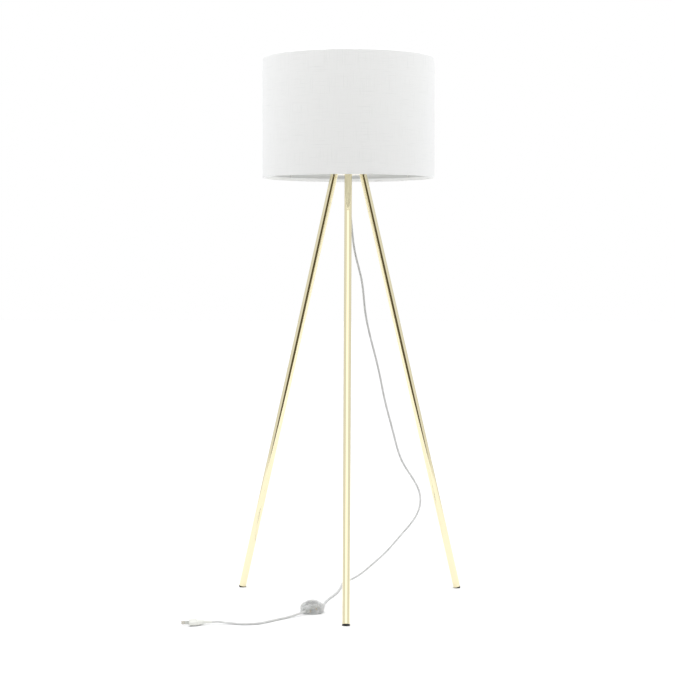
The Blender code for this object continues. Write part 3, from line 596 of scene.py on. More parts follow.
def node(tree, kind, inputs=None, **settings):
    """Adds a node, or takes the one given, with its settings and inputs. An input is a
    value, another node or one of its outputs."""
    made = tree.nodes.new(kind) if isinstance(kind, str) else kind
    for key, value in settings.items():
        setattr(made, key, value)
    for key, value in (inputs or {}).items():
        if isinstance(value, bpy.types.Node):
            value = value.outputs[0]
        if isinstance(value, bpy.types.NodeSocket):
            tree.links.new(value, made.inputs[key])
        else:
            made.inputs[key].default_value = value
    return made


def new_material(name, colour, **sockets):
    """A material, its node tree, its shader with sockets set, and its place in metres."""
    material = bpy.data.materials.new(name)
    material.use_nodes = True
    tree = material.node_tree
    shader = tree.nodes["Principled BSDF"]
    shader.inputs["Base Color"].default_value = linear(colour)
    for key, value in sockets.items():
        shader.inputs[key.replace("_", " ")].default_value = value
    return material, tree, shader, node(tree, "ShaderNodeTexCoord").outputs["Object"]


def plated_steel(name, colour, streak):
    """Steel, polished and electroplated light gold: a mirror, its reflections drawn out a
    little by polishing lines. These are about 0.1 mm apart and are drawn at 0.8 mm. The
    streak is how often they repeat in a metre on each axis."""
    material, tree, shader, place = new_material(name, colour, Metallic=1.0)
    along = node(tree, STRETCH, {"Vector": place, "Scale": streak})
    lines = node(
        tree, NOISE,
        {"Vector": along, "Scale": 1.0, "Detail": 3.0, "Roughness": 0.6},
    )
    haze = node(tree, NOISE, {"Vector": place, "Scale": 1 / 0.03})
    both = node(tree, MATHS, {0: lines, 1: haze}, operation="MULTIPLY")
    rough = node(
        tree, SPREAD,
        {"Value": both, "From Min": 0.1, "From Max": 0.5, "To Min": 0.045, "To Max": 0.11},
    )
    relief = node(tree, RELIEF, {"Height": lines, "Distance": 0.000002, "Strength": 0.35})
    node(tree, shader, {"Roughness": rough, "Normal": relief})
    return material


def moulded_rubber():
    """Rubber, compression moulded: nearly black, matt, with a fine grain of 0.4 mm and
    paler scuffs where it has stood."""
    material, tree, shader, place = new_material(
        "black_moulded_rubber", "1D1C1B", Roughness=0.62
    )
    scuffs = node(tree, NOISE, {"Vector": place, "Scale": 1 / 0.006, "Detail": 4.0})
    worn = node(tree, SPREAD, {"Value": scuffs, "From Min": 0.45, "From Max": 0.8})
    tint = node(
        tree, BLEND, {0: worn, 6: linear("191817"), 7: linear("3A3937")},
        data_type="RGBA",
    )
    grain = node(tree, NOISE, {"Vector": place, "Scale": 1 / 0.0004})
    relief = node(tree, RELIEF, {"Height": grain, "Distance": 0.00004})
    node(tree, shader, {"Base Color": tint.outputs[2], "Normal": relief})
    return material


def woven_cloth(colour, spacing):
    """Polyester and cotton cloth, plain woven and bonded flat: white and matt, with the
    square grid of its threads and a few thicker ones. Threads are 0.35 mm apart and are
    drawn at the spacing given, so that the grid shows."""
    material, tree, shader, place = new_material(
        "white_woven_polycotton", colour, Roughness=0.92, Specular_IOR_Level=0.3,
        Sheen_Weight=0.06, Sheen_Roughness=0.5,
    )
    flat = place.node.outputs["UV"]
    repeat = math.pi / spacing
    threads = node(tree, STRETCH, {"Vector": flat, "Scale": (repeat, repeat, 1.0)})
    axes = node(tree, "ShaderNodeSeparateXYZ", {0: threads})
    over = [
        node(tree, MATHS, {0: axes.outputs[i]}, operation="SINE") for i in (0, 1)
    ]
    weave = node(tree, MATHS, {0: over[0], 1: over[1]}, operation="MULTIPLY")
    long, short = 1 / 0.06, 1 / (2 * spacing)
    slubs = []
    for scale in ((long, short, 1.0), (short, long, 1.0)):
        drawn = node(tree, STRETCH, {"Vector": flat, "Scale": scale})
        slubs.append(node(tree, NOISE, {"Vector": drawn, "Scale": 1.0}))
    thick = node(tree, MATHS, {0: slubs[0], 1: slubs[1]}, operation="MAXIMUM")
    shade = node(tree, SPREAD, {"Value": thick, "From Min": 0.55, "From Max": 0.9})
    tint = node(
        tree, BLEND, {0: shade, 6: linear(colour), 7: linear("EBEDED")},
        data_type="RGBA",
    )
    height = node(tree, MATHS, {0: weave, 1: 0.5, 2: thick}, operation="MULTIPLY_ADD")
    relief = node(tree, RELIEF, {"Height": height, "Distance": 0.00005, "Strength": 0.35})
    node(tree, shader, {"Base Color": tint.outputs[2], "Normal": relief})
    return material


def calendered_film(colour):
    """Soft PVC sheet, calendered: satin and flat, with a faint waviness of 8 mm. The sheet
    is white; the colour given may be darker, as painted shade.
    """
    material, tree, shader, place = new_material(
        "white_calendered_pvc_sheet", colour, Roughness=0.42
    )
    waves = node(tree, NOISE, {"Vector": place, "Scale": 1 / 0.008})
    rough = node(tree, SPREAD, {"Value": waves, "To Min": 0.36, "To Max": 0.5})
    relief = node(tree, RELIEF, {"Height": waves, "Distance": 0.00002})
    node(tree, shader, {"Roughness": rough, "Normal": relief})
    return material


def moulded_plastic(name, colour, roughness):
    """A thermoplastic, injection moulded in a spark-eroded tool: satin, with a grain of
    0.5 mm and slight flow shading."""
    material, tree, shader, place = new_material(name, colour, Roughness=roughness)
    grain = node(tree, NOISE, {"Vector": place, "Scale": 1 / 0.0005, "Detail": 1.0})
    flow = node(tree, NOISE, {"Vector": place, "Scale": 1 / 0.012, "Detail": 1.0})
    rough = node(
        tree, SPREAD,
        {
            "Value": flow, "From Min": 0.3, "From Max": 0.7,
            "To Min": roughness - 0.05, "To Max": roughness + 0.08,
        },
    )
    relief = node(tree, RELIEF, {"Height": grain, "Distance": 0.00002, "Strength": 0.6})
    node(tree, shader, {"Roughness": rough, "Normal": relief})
    return material


def clear_plastic(name, colour, index, roughness, flow):
    """A clear thermoplastic with thin walls, injection moulded: greyish, so that what lies
    behind shows softened, with glassy highlights broken by slow flow waves."""
    material, tree, shader, place = new_material(
        name, colour, Roughness=roughness, IOR=index, Transmission_Weight=0.4, Alpha=0.4
    )
    waves = node(tree, NOISE, {"Vector": place, "Scale": 1 / flow, "Detail": 1.0})
    relief = node(tree, RELIEF, {"Height": waves, "Distance": 0.00015, "Strength": 0.5})
    node(tree, shader, {"Normal": relief})
    return material


def cord_sheath(colour):
    """Soft PVC, extruded clear over two twisted tinned cores: grey and silky, the cores'
    twist showing as slow bands 24 mm long, over a shine from the smooth skin."""
    material, tree, shader, place = new_material(
        "clear_extruded_pvc_sheath", colour, Roughness=0.28, IOR=1.53,
        Transmission_Weight=0.06, Coat_Weight=0.2, Coat_Roughness=0.15,
    )
    bands = node(tree, NOISE, {"Vector": place, "Scale": 1 / 0.012, "Detail": 1.0})
    share = node(tree, SPREAD, {"Value": bands, "From Min": 0.3, "From Max": 0.7})
    tint = node(
        tree, BLEND, {0: share, 6: linear(colour), 7: linear("C0C1C0")},
        data_type="RGBA",
    )
    relief = node(tree, RELIEF, {"Height": bands, "Distance": 0.00004})
    node(tree, shader, {"Base Color": tint.outputs[2], "Normal": relief})
    return material


def bare_metal(name, colour, shade, roughness, grain):
    """A bare or zinc plated metal part, stamped or turned: satin, with tool marks as long
    as the grain and darker patches between them."""
    material, tree, shader, place = new_material(
        name, colour, Metallic=1.0, Roughness=roughness
    )
    drawn = node(
        tree, STRETCH, {"Vector": place, "Scale": (1 / grain, 1 / grain, 4 / grain)}
    )
    marks = node(tree, NOISE, {"Vector": drawn, "Scale": 1.0, "Detail": 3.0})
    share = node(tree, SPREAD, {"Value": marks, "From Min": 0.3, "From Max": 0.7})
    tint = node(
        tree, BLEND, {0: share, 6: linear(colour), 7: linear(shade)},
        data_type="RGBA",
    )
    rough = node(
        tree, SPREAD,
        {"Value": marks, "To Min": roughness * 0.7, "To Max": roughness * 1.4},
    )
    relief = node(tree, RELIEF, {"Height": marks, "Distance": 0.000008, "Strength": 0.6})
    finish = {"Base Color": tint.outputs[2], "Roughness": rough, "Normal": relief}
    node(tree, shader, finish)
    return material


def powder_coat():
    """Steel wire and sheet, powder coated white: softly glossy with the orange peel of the
    cured coat, 1.6 mm across."""
    material, tree, shader, place = new_material(
        "white_powder_coated_steel", "F0F0EE", Roughness=0.38
    )
    peel = node(tree, NOISE, {"Vector": place, "Scale": 1 / 0.0016, "Detail": 1.0})
    rough = node(tree, SPREAD, {"Value": peel, "To Min": 0.3, "To Max": 0.48})
    relief = node(tree, RELIEF, {"Height": peel, "Distance": 0.00003, "Strength": 0.6})
    node(tree, shader, {"Roughness": rough, "Normal": relief})
    return material


def steatite():
    """Steatite, pressed and fired: warm white and matt, with darker specks 0.8 mm apart."""
    material, tree, shader, place = new_material("fired_steatite", "EFE9DC", Roughness=0.55)
    specks = node(tree, NOISE, {"Vector": place, "Scale": 1 / 0.0008, "Detail": 3.0})
    share = node(tree, SPREAD, {"Value": specks, "From Min": 0.6, "From Max": 0.8})
    tint = node(
        tree, BLEND, {0: share, 6: linear("EFE9DC"), 7: linear("CFC6B4")},
        data_type="RGBA",
    )
    relief = node(tree, RELIEF, {"Height": specks, "Distance": 0.00003})
    node(tree, shader, {"Base Color": tint.outputs[2], "Normal": relief})
    return material


# Stage --------------------------------------------------------------------------------


class LAMP_OT_studio(bpy.types.Operator):
    """Camera, paper floor, white surroundings and the soft light above"""

    bl_idname = "lamp.studio"
    bl_label = "Studio"

    def execute(self, context):
        settings = context.scene.lamp_studio
        context.scene.view_settings.view_transform = "Standard"
        self.place_camera(context)
        self.lay_floor(settings.floor_colour)
        self.surround(context, settings.backdrop)
        lamp = bpy.data.lights.new("overhead_light", "AREA")
        lamp.shape = "DISK"
        lamp.size = 3.0
        lamp.energy = settings.overhead
        light = linked("overhead_light", lamp)
        light.location = AXIS + Vector((0.0, 0.0, 3.4))
        light.visible_glossy = False
        return {"FINISHED"}

    def place_camera(self, context):
        lens = bpy.data.cameras.new("camera")
        lens.lens = CAMERA_LENS
        camera = linked("camera", lens)
        turn = math.radians(CAMERA_AZIMUTH)
        back = Vector((math.sin(turn), -math.cos(turn), 0.0)) * CAMERA_DISTANCE
        camera.location = AXIS + back + Vector((0.0, 0.0, CAMERA_HEIGHT))
        camera.rotation_euler = (
            math.radians(90.0 - CAMERA_PITCH), 0.0, turn + math.radians(CAMERA_YAW)
        )
        context.scene.camera = camera

    def lay_floor(self, colour):
        """A paper sweep that ends between the lamp and the camera, below the view."""
        front, side, back = -1.0, 14.0, 22.0
        shape = bmesh.new()
        spots = [(-side, front), (side, front), (side, back), (-side, back)]
        shape.faces.new([shape.verts.new((x, y, 0.0)) for x, y in spots])
        floor = new_piece("paper_floor", shape)
        material, tree, shader, place = new_material(
            "matt_white_paper", colour, Roughness=0.9
        )
        fibres = node(tree, NOISE, {"Vector": place, "Scale": 1 / 0.004, "Detail": 3.0})
        tint = node(
            tree, BLEND, {0: fibres, 6: linear(colour), 7: linear("F1F1F2")},
            data_type="RGBA",
        )
        node(tree, shader, {"Base Color": tint.outputs[2]})
        floor.data.materials.append(material)

    def surround(self, context, brightness):
        """White seen directly; to reflections and as light also the room round the sweep: a
        softbox over a dark floor on the camera's side, grey walls beside them and a bright
        ceiling."""
        world = bpy.data.worlds.new("studio")
        context.scene.world = world
        world.use_nodes = True
        tree = world.node_tree
        direct = tree.nodes["Background"]
        direct.inputs["Color"].default_value = (1.0, 1.0, 1.0, 1.0)
        direct.inputs["Strength"].default_value = brightness
        where = node(tree, "ShaderNodeTexCoord")
        axes = node(tree, "ShaderNodeSeparateXYZ", {0: where.outputs["Generated"]})
        back = node(tree, MATHS, {0: axes.outputs[1], 1: -1.0}, operation="MULTIPLY")
        turn = node(tree, MATHS, {0: axes.outputs[0], 1: back}, operation="ARCTAN2")
        rise = node(tree, MATHS, {0: axes.outputs[2]}, operation="ARCSINE")
        last = (1.0, 1.0, 1.0, 1.0)
        for *bands, light in LIGHT_REGIONS:
            spots = []
            for value, (centre, half, soft) in zip((turn, rise), bands):
                off = node(
                    tree, MATHS, {0: value, 1: math.radians(centre)},
                    operation="SUBTRACT",
                )
                size = node(tree, MATHS, {0: off}, operation="ABSOLUTE")
                spots.append(node(
                    tree, SPREAD,
                    {
                        "Value": size, "From Min": math.radians(half),
                        "From Max": math.radians(half + soft), "To Min": 1.0, "To Max": 0.0,
                    },
                    interpolation_type="SMOOTHSTEP",
                ))
            both = node(tree, MATHS, {0: spots[0], 1: spots[1]}, operation="MULTIPLY")
            last = node(
                tree, BLEND, {0: both, 6: last, 7: (*light, 1.0)},
                data_type="RGBA",
            ).outputs[2]
        room = node(tree, "ShaderNodeBackground", {"Color": last, "Strength": brightness})
        path = node(tree, "ShaderNodeLightPath")
        chosen = node(
            tree, "ShaderNodeMixShader",
            {0: path.outputs["Is Camera Ray"], 1: room, 2: direct},
        )
        node(tree, tree.nodes["World Output"], {"Surface": chosen})


# Foot switch --------------------------------------------------------------------------


class LAMP_OT_foot_switch(bpy.types.Operator):
    """The foot switch: clear housing, button, spring, mechanism, terminals and screws"""

    bl_idname = "lamp.foot_switch"
    bl_label = "Foot Switch"

    floor = 0.0035
    base_height = 0.0125
    wall = 0.0020
    button_hole = 0.0153
    collar_wall = 0.0015
    collar_bottom = 0.0213
    pillar_radius = 0.0032
    pillar_top = 0.0236
    screw_hole = 0.0018
    head_hole = 0.0031
    head_depth = 0.0018

    def execute(self, context):
        self.at = switch_frame()
        self.radius = radius_of("switch_base")
        self.clear = clear_plastic(
            "clear_moulded_polycarbonate", "CFD1D0", 1.585, 0.05, 0.009
        )
        self.white = moulded_plastic("white_moulded_nylon", "E4E4DE", 0.45)
        self.zinc = bare_metal("zinc_plated_steel_screw", "B9BCBD", "8E9295", 0.3, 0.002)
        self.make_housing()
        self.make_button()
        self.make_works()
        self.make_terminals()
        return {"FINISHED"}

    def make_housing(self):
        outside, inside = self.radius, self.radius - self.wall
        height, floor = self.base_height, self.floor
        base = turned_solid(
            "foot_switch_base",
            [
                (0.0, floor, 0), (inside - 0.0006, floor, 0.002), (inside, height, 0.0004),
                (outside, height, 0.0004), (outside, 0.0055, 0.003),
                (outside - 0.0028, 0.0, 0.0008), (0.0, 0.0, 0),
            ],
            128, steps=4,
        )
        across = [(-0.05, 0.0, PORT_HEIGHT), (0.05, 0.0, PORT_HEIGHT)]
        cutters = [wire("port", [across], PORT_DIAMETER, 32)]
        pillars, bores = [], []
        pillar = self.outline(self.pillar_top, self.pillar_radius, floor + GAP)
        for screw in ("switch_screw_1", "switch_screw_2", "switch_screw_3"):
            spot = Matrix.Translation(self.at.inverted() @ Vector((*middle(screw).xy, 0.0)))
            stem = self.outline(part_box(screw)[1].z + GAP, self.screw_hole, self.head_depth)
            hole = stem[:3] + [
                (self.head_hole, self.head_depth), (self.head_hole, -0.001), (0.0, -0.001)
            ]
            for group, profile in ((cutters, hole), (bores, hole), (pillars, pillar)):
                group.append(turned("post", profile, 32, closed=False))
                group[-1].matrix_world = spot
        carve(base, cutters)
        dress(base, self.clear, "clear_plastic", "switch_base", at=self.at)

        bore = self.button_hole
        collar = bore + self.collar_wall
        bottom, top = height + GAP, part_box("switch_cover")[1].z
        cover = turned(
            "foot_switch_cover",
            arc((bore, bottom), (outside - bore, top - bottom), 88.0, 4.0, 20)
            + [(outside, bottom)]
            + arc((collar, bottom), (inside - collar, top - bottom - self.wall),
                  0.0, 90.0, 16)
            + rounded([
                (collar, top - 0.004, 0), (collar, self.collar_bottom, 0.0004),
                (bore, self.collar_bottom, 0.0004), (bore, top - 0.0006, 0),
            ], closed=False),
            128,
        )
        carve(cover, pillars, "UNION")
        carve(cover, bores)
        dress(cover, self.clear, "clear_plastic", "switch_cover", at=self.at)

    @staticmethod
    def outline(top, radius, bottom):
        """Half the outline of a plain post."""
        return [(0.0, top), (radius, top), (radius, bottom), (0.0, bottom)]

    def make_button(self):
        low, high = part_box("switch_button")
        top, radius = high.z, 0.0150
        flange = radius_of("switch_button")
        inner = radius - 0.0016
        ridges = []
        for r in (0.0116, 0.0096, 0.0076):
            ridges += [
                (r + 0.0005, top - 0.0006), (r, top - 0.00015), (r - 0.0005, top - 0.0006),
            ]
        button = turned(
            "foot_switch_button",
            [(0.0, top - 0.0004), (0.0060, top - 0.0004)] + ridges[::-1]
            + rounded([
                (0.0124, top - 0.0007, 0),
                (radius, top - 0.0012, 0.0014),
                (radius, low.z + 0.0016, 0),
                (flange, low.z + 0.0016, 0.0003),
                (flange, low.z, 0.0003),
                (inner, low.z, 0.0003),
                (inner, top - 0.0035, 0.001),
                (0.0, top - 0.0017, 0),
            ], closed=False),
            96, closed=False,
        )
        dress(button, self.clear, "clear_plastic", "switch_button", at=self.at,
              body=BUTTON_BODY)

    def make_works(self):
        low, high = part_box("switch_spring")
        thick, foot, tip, turns, per_turn = 0.0010, 0.0053, 0.0018, 6, 32
        bottom, top = low.z + thick / 2, high.z - thick / 2
        coil = []
        for i in range(turns * per_turn + 1):
            share = i / (turns * per_turn)
            radius = foot + (tip - foot) * share
            angle = 2 * math.pi * i / per_turn
            height = bottom + (top - bottom) * share
            coil.append((radius * math.cos(angle), radius * math.sin(angle), height))
        spring = wire("foot_switch_spring", [coil], thick, 12)
        spring.data.transform(Matrix.Translation(SWITCH))
        dark = bare_metal("oil_tempered_spring_wire", "343436", "1C1C1E", 0.38, 0.001)
        dress(spring, dark, "spring_steel", "switch_spring")
        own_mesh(spring)

        low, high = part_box("switch_spring_seat")
        edge = 0.0068
        seat = turned_solid(
            "foot_switch_spring_seat",
            [
                (0.0, high.z - 0.0008, 0), (0.0040, high.z - 0.0008, 0.0003),
                (0.0044, high.z, 0.0002), (edge, high.z, 0.0004), (edge, low.z, 0.0002),
                (0.0, low.z, 0),
            ],
            swell=fluted(8, 0.0008, edge, low.z, high.z),
        )
        dress(seat, self.white, "white_plastic", "switch_spring_seat", at=self.at)

        low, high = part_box("switch_mechanism")
        edge, waist = 0.0095, 0.0091
        can = turned_solid(
            "foot_switch_mechanism",
            [
                (0.0, high.z, 0), (0.0070, high.z, 0.0002),
                (0.0074, high.z - 0.0009, 0.0002),
                (edge, high.z - 0.0009, 0.0006), (edge, high.z - 0.0040, 0.0001),
                (waist, high.z - 0.0042, 0.0001), (waist, low.z + 0.0010, 0.0001),
                (edge, low.z + 0.0008, 0.0001), (edge, low.z, 0.0002), (0.0, low.z, 0),
            ],
            steps=2, swell=fluted(6, 0.0006, edge, low.z + 0.002, high.z),
        )
        dress(can, self.zinc, "zinc_steel", "switch_mechanism", at=self.at)

    def make_terminals(self):
        brass = bare_metal("turned_brass_terminal", "CDA95C", "A98445", 0.26, 0.001)
        for side, name in ((1, "out"), (-1, "in")):
            low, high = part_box(f"switch_terminal_{name}")
            place = self.at.inverted() @ middle(f"switch_terminal_{name}")
            parts = [block("body", (0.0053, 0.0088, high.z - low.z - 0.0010))]
            parts[0].location = (0.0, 0.0, -0.0005)
            for across in (-1, 1):
                head = turned_solid("head", [
                    (0.0, 0.0010, 0), (0.0017, 0.0010, 0.0004), (0.0017, -0.001, 0),
                    (0.0, -0.001, 0),
                ], 32)
                slot = block("slot", (0.0005, 0.006, 0.0011), 0.00005)
                slot.location = (0.0, 0.0, 0.0010)
                carve(head, [slot])
                head.location = (0.0, across * 0.0024, (high.z - low.z) / 2 - 0.0010)
                head.rotation_euler[2] = 0.6 * across
                parts.append(head)
            terminal = joined(f"foot_switch_terminal_{name}", parts)
            dress(terminal, brass, "brass", f"switch_terminal_{name}",
                  at=self.at @ Matrix.Translation(place))

            ends = (side * 0.0204, side * 0.0168)
            lines = [[(x, y, PORT_HEIGHT) for x in ends] for y in (-0.0012, 0.0012)]
            cores = wire(f"foot_switch_cores_{name}", lines, 0.0016, 16)
            dress(cores, self.white, "white_plastic", at=self.at)
            low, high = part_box(f"switch_clamp_{name}")
            place = self.at.inverted() @ middle(f"switch_clamp_{name}")
            size = (0.006, 0.011, high.z - low.z)
            clamp = block(f"foot_switch_clamp_{name}", size, 0.0006)
            through = [(x, 0.0, PORT_HEIGHT - place.z) for x in (-0.01, 0.01)]
            tunnel = wire("tunnel", [through], PORT_DIAMETER, 32)
            slots = []
            for x in (-0.0015, 0.0015):
                slots.append(block("slot", (0.0008, 0.012, 0.0014), 0.0001))
                slots[-1].location = (x, 0.0, (high.z - low.z) / 2)
            carve(clamp, [tunnel, *slots])
            dress(clamp, self.white, "white_plastic", f"switch_clamp_{name}",
                  at=self.at @ Matrix.Translation(place))

        for number in (1, 2, 3):
            name = f"switch_screw_{number}"
            low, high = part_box(name)
            size = high.z - low.z
            shank = [
                (0.0010 + 0.0004 * (i % 2), size - 0.0008 - i * 0.0004)
                for i in range(int((size - 0.0024) / 0.0004))
            ]
            screw = turned(
                f"foot_switch_screw_{number}",
                [(0.0, size), *shank] + rounded([
                    (0.0010, 0.0015, 0), (0.0028, 0.0015, 0.0002), (0.0028, 0.0, 0.0008),
                    (0.0, 0.0, 0),
                ], closed=False),
                32, closed=False,
            )
            cross = []
            for turn in (0.0, math.pi / 2):
                cross.append(block("cross", (0.0006, 0.0028, 0.0018), 0.00005))
                cross[-1].rotation_euler[2] = turn
            carve(screw, cross)
            dress(screw, self.zinc, "zinc_steel", name,
                  at=Matrix.Translation((*middle(name).xy, low.z)))


# Plug ---------------------------------------------------------------------------------


class LAMP_OT_plug(bpy.types.Operator):
    """The flat two-pin plug with its strain relief and sleeved pins"""

    bl_idname = "lamp.plug"
    bl_label = "Plug"

    straight = 0.012  # length over which the sides run straight
    half_width = 0.01765
    half_thickness = 0.00685
    tail = 0.00525

    def execute(self, context):
        at = plug_frame()
        moulding = moulded_plastic("translucent_moulded_pvc_plug", "DCDDD7", 0.32)
        self.make_body(at, moulding)
        self.make_relief(at, moulding)
        self.make_pins(at)
        return {"FINISHED"}

    def make_body(self, at, material):
        """The body's rounded section narrows towards the cord, with hollows to grip."""
        around, sections = 64, 40
        shape = bmesh.new()
        rings = []
        for k in range(sections + 1):
            back = PLUG_LENGTH * k / sections
            share = max(0.0, (back - self.straight) / (PLUG_LENGTH - self.straight))
            ease = (1 + math.cos(math.pi * share)) / 2
            width = self.tail + (self.half_width - self.tail) * ease
            depth = self.tail + (self.half_thickness - self.tail) * ease
            face = 0.0009 * max(0.0, 1 - back / 0.0011) ** 2
            ribs = 0.0007 * (0.5 - 0.5 * math.cos(2 * math.pi * (back - 0.0035) / 0.0032))
            ribs *= 1.0 if 0.0035 <= back <= 0.0195 else 0.0
            ring = []
            for i in range(around):
                angle = 2 * math.pi * i / around
                across, up = math.cos(angle), math.sin(angle)
                grip = ribs * max(0.0, abs(across) - 0.6) / 0.4
                ring.append(shape.verts.new((
                    -back,
                    (width - face - grip) * math.copysign(abs(across) ** 0.8, across),
                    (depth - face) * math.copysign(abs(up) ** 0.6, up),
                )))
            rings.append(ring)
        skin(shape, [[shape.verts.new((0.0, 0.0, 0.0))], *rings])
        shape.faces.new(rings[-1])
        body = new_piece("mains_plug_body", shape)
        recesses = []
        for side in (-1, 1):
            hollow = block("hollow", (0.013, 0.016, 0.003), 0.0012)
            hollow.location = (-0.0120, 0.0, side * (self.half_thickness + 0.0009))
            recesses.append(hollow)
        carve(body, recesses)
        dress(body, material, "clear_plastic", "plug_body", at=at)

    def make_relief(self, at, material):
        """Rings on a taper, so that the cord bends in a curve where it leaves the plug."""
        near, far = PLUG_LENGTH + GAP, PLUG_LENGTH + GAP + RELIEF_LENGTH
        rings, outline = 6, []
        pitch = RELIEF_LENGTH / rings
        for k in range(rings):
            start = near + k * pitch
            outer = 0.0042 - 0.0008 * (k + 0.5) / rings
            outline += [(outer, start, 0.0003), (outer, start + pitch * 0.62, 0.0003)]
            if k < rings - 1:
                waist = 0.0029
                outline += [(waist, start + pitch * share, 0) for share in (0.66, 0.96)]
        outline = [(0.0, near, 0)] + outline + [(0.0034, far, 0.0003), (0.0, far, 0)]
        relief = turned_solid("mains_plug_relief", outline, 64, steps=2)
        back = at @ Matrix.Rotation(-math.pi / 2, 4, "Y")
        dress(relief, material, "clear_plastic", "plug_relief", at=back)

    def make_pins(self, at):
        """Nickel plated pins with a rounded end and a moulded sleeve over their root."""
        nickel = bare_metal("nickel_plated_brass_pin", "C9C6BD", "A5A198", 0.2, 0.002)
        sleeve_material = moulded_plastic("grey_moulded_nylon_sleeve", "B9BAB5", 0.4)
        spacing, length, radius = 0.0186, 0.019, 0.002
        forwards = Matrix.Rotation(math.pi / 2, 4, "Y")
        for pole, side in (("live", 1), ("neutral", -1)):
            pin = turned(
                f"mains_plug_pin_{pole}",
                arc((0.0, length - radius), (radius, radius), 90.0, 0.0, 8)
                + [
                    (radius, 0.0101), (radius - 0.0002, 0.0100), (radius - 0.0002, 0.0),
                    (0, 0),
                ],
                48, closed=False,
            )
            spot = at @ Matrix.Translation((GAP, side * spacing / 2, 0.0)) @ forwards
            dress(pin, nickel, "brass", f"plug_pin_{pole}", at=spot)
            inner = radius - 0.00015
            sleeve = turned_ring(
                f"mains_plug_sleeve_{pole}",
                [
                    (radius, 0.0099, 0.0001), (radius, 0.0, 0), (inner, 0.0, 0),
                    (inner, 0.0099, 0),
                ],
                48,
            )
            dress(sleeve, sleeve_material, "white_plastic", at=spot)


# Stand --------------------------------------------------------------------------------


class LAMP_OT_legs(bpy.types.Operator):
    """The three legs, each a plated tube with its socket and rubber pad"""

    bl_idname = "lamp.legs"
    bl_label = "Legs"

    tube_wall = 0.0012
    stud = 0.0050  # radius of the threaded stud
    stud_reach = 0.022
    pad_stem = 0.0137  # how far a pad's stem goes up the tube
    pad_lip = -0.0043  # a pad's lower side, from the tube's end

    def execute(self, context):
        settings = context.scene.lamp_stand
        gold = plated_steel(
            "light_gold_plated_steel_tube", settings.plate_colour, (60.0, 60.0, 1 / 0.0008)
        )
        rubber = moulded_rubber()
        edge = settings.edge_round
        for side in ("front", "right", "left"):
            at, length = line_of(f"leg_tube_{side}")
            outer = radius_of("leg_tube_front")
            bore = outer - self.tube_wall
            tube = turned_ring(
                f"leg_{side}",
                [
                    (outer, length, edge), (outer, 0.0, edge * 2), (bore, 0.0, edge),
                    (bore, length, edge),
                ],
                128,
            )
            dress(tube, gold, "polished_gold", f"leg_tube_{side}", at=at)
            self.make_socket(side, at, outer, length + GAP, gold)
            self.make_pad(side, at, outer, bore - GAP, rubber)
        return {"FINISHED"}

    def cut(self, shape, at, height, keep):
        """Cuts the shape flat at a height, to keep what is above (1) or below it (-1)."""
        back = at.inverted()
        level = back @ Vector((*at.translation.xy, height))
        facing = back.to_3x3() @ Vector((0.0, 0.0, -float(keep)))
        cut = bmesh.ops.bisect_plane(
            shape, geom=[*shape.verts, *shape.edges, *shape.faces], plane_co=level,
            plane_no=facing, clear_outer=True,
        )
        edges = [g for g in cut["geom_cut"] if isinstance(g, bmesh.types.BMEdge)]
        bmesh.ops.contextual_create(shape, geom=edges)

    def make_socket(self, side, at, outer, start, gold):
        """A turned end piece on a threaded stud, cut to sit flat under the hub plate."""
        stud, reach = self.stud, self.stud_reach
        shape = turned_shape(
            [(0.0, start + 0.02), (outer, start + 0.02)]
            + rounded([(outer, start + 0.01, 0), (outer, start, 0.0003), (stud, start, 0)],
                      closed=False)
            + upright(stud, start - 0.0005, start - reach + 0.001, 0.0005)
            + [(stud - 0.001, start - reach), (0.0, start - reach)],
            96, closed=False, swell=threaded(0.0006, 0.0015, start - reach, start - 0.001),
        )
        self.cut(shape, at, HUB_UNDERSIDE - GAP, -1)
        socket = new_piece(f"leg_end_{side}", shape)
        dress(socket, gold, "polished_gold", f"leg_socket_{side}", at=at)

    def make_pad(self, side, at, outer, stem, rubber):
        """A pad with a ribbed stem in the tube and a lip under it, flat on the floor."""
        ribs = []
        for k in range(3):
            height = 0.0115 - k * 0.0038
            ribs += [
                (stem, height, 0.0002), (stem - 0.0002, height - 0.0012, 0.0002),
                (stem - 0.0011, height - 0.0014, 0), (stem - 0.0011, height - 0.0036, 0),
            ]
        low, top = self.pad_lip, self.pad_stem
        shape = turned_shape(
            [(0.0, top)]
            + rounded([
                (stem - 0.0015, top, 0.0005), *ribs, (stem - 0.0011, -GAP, 0),
                (outer, -GAP, 0.0004), (outer, low + 0.0008, 0.0005),
                (outer - 0.0008, low, 0.0004), (0.0, low, 0),
            ], closed=False),
            96, closed=False,
        )
        self.cut(shape, at, 0.0, 1)
        pad = new_piece(f"leg_pad_{side}", shape)
        dress(pad, rubber, "black_rubber", f"foot_pad_{side}", at=at)


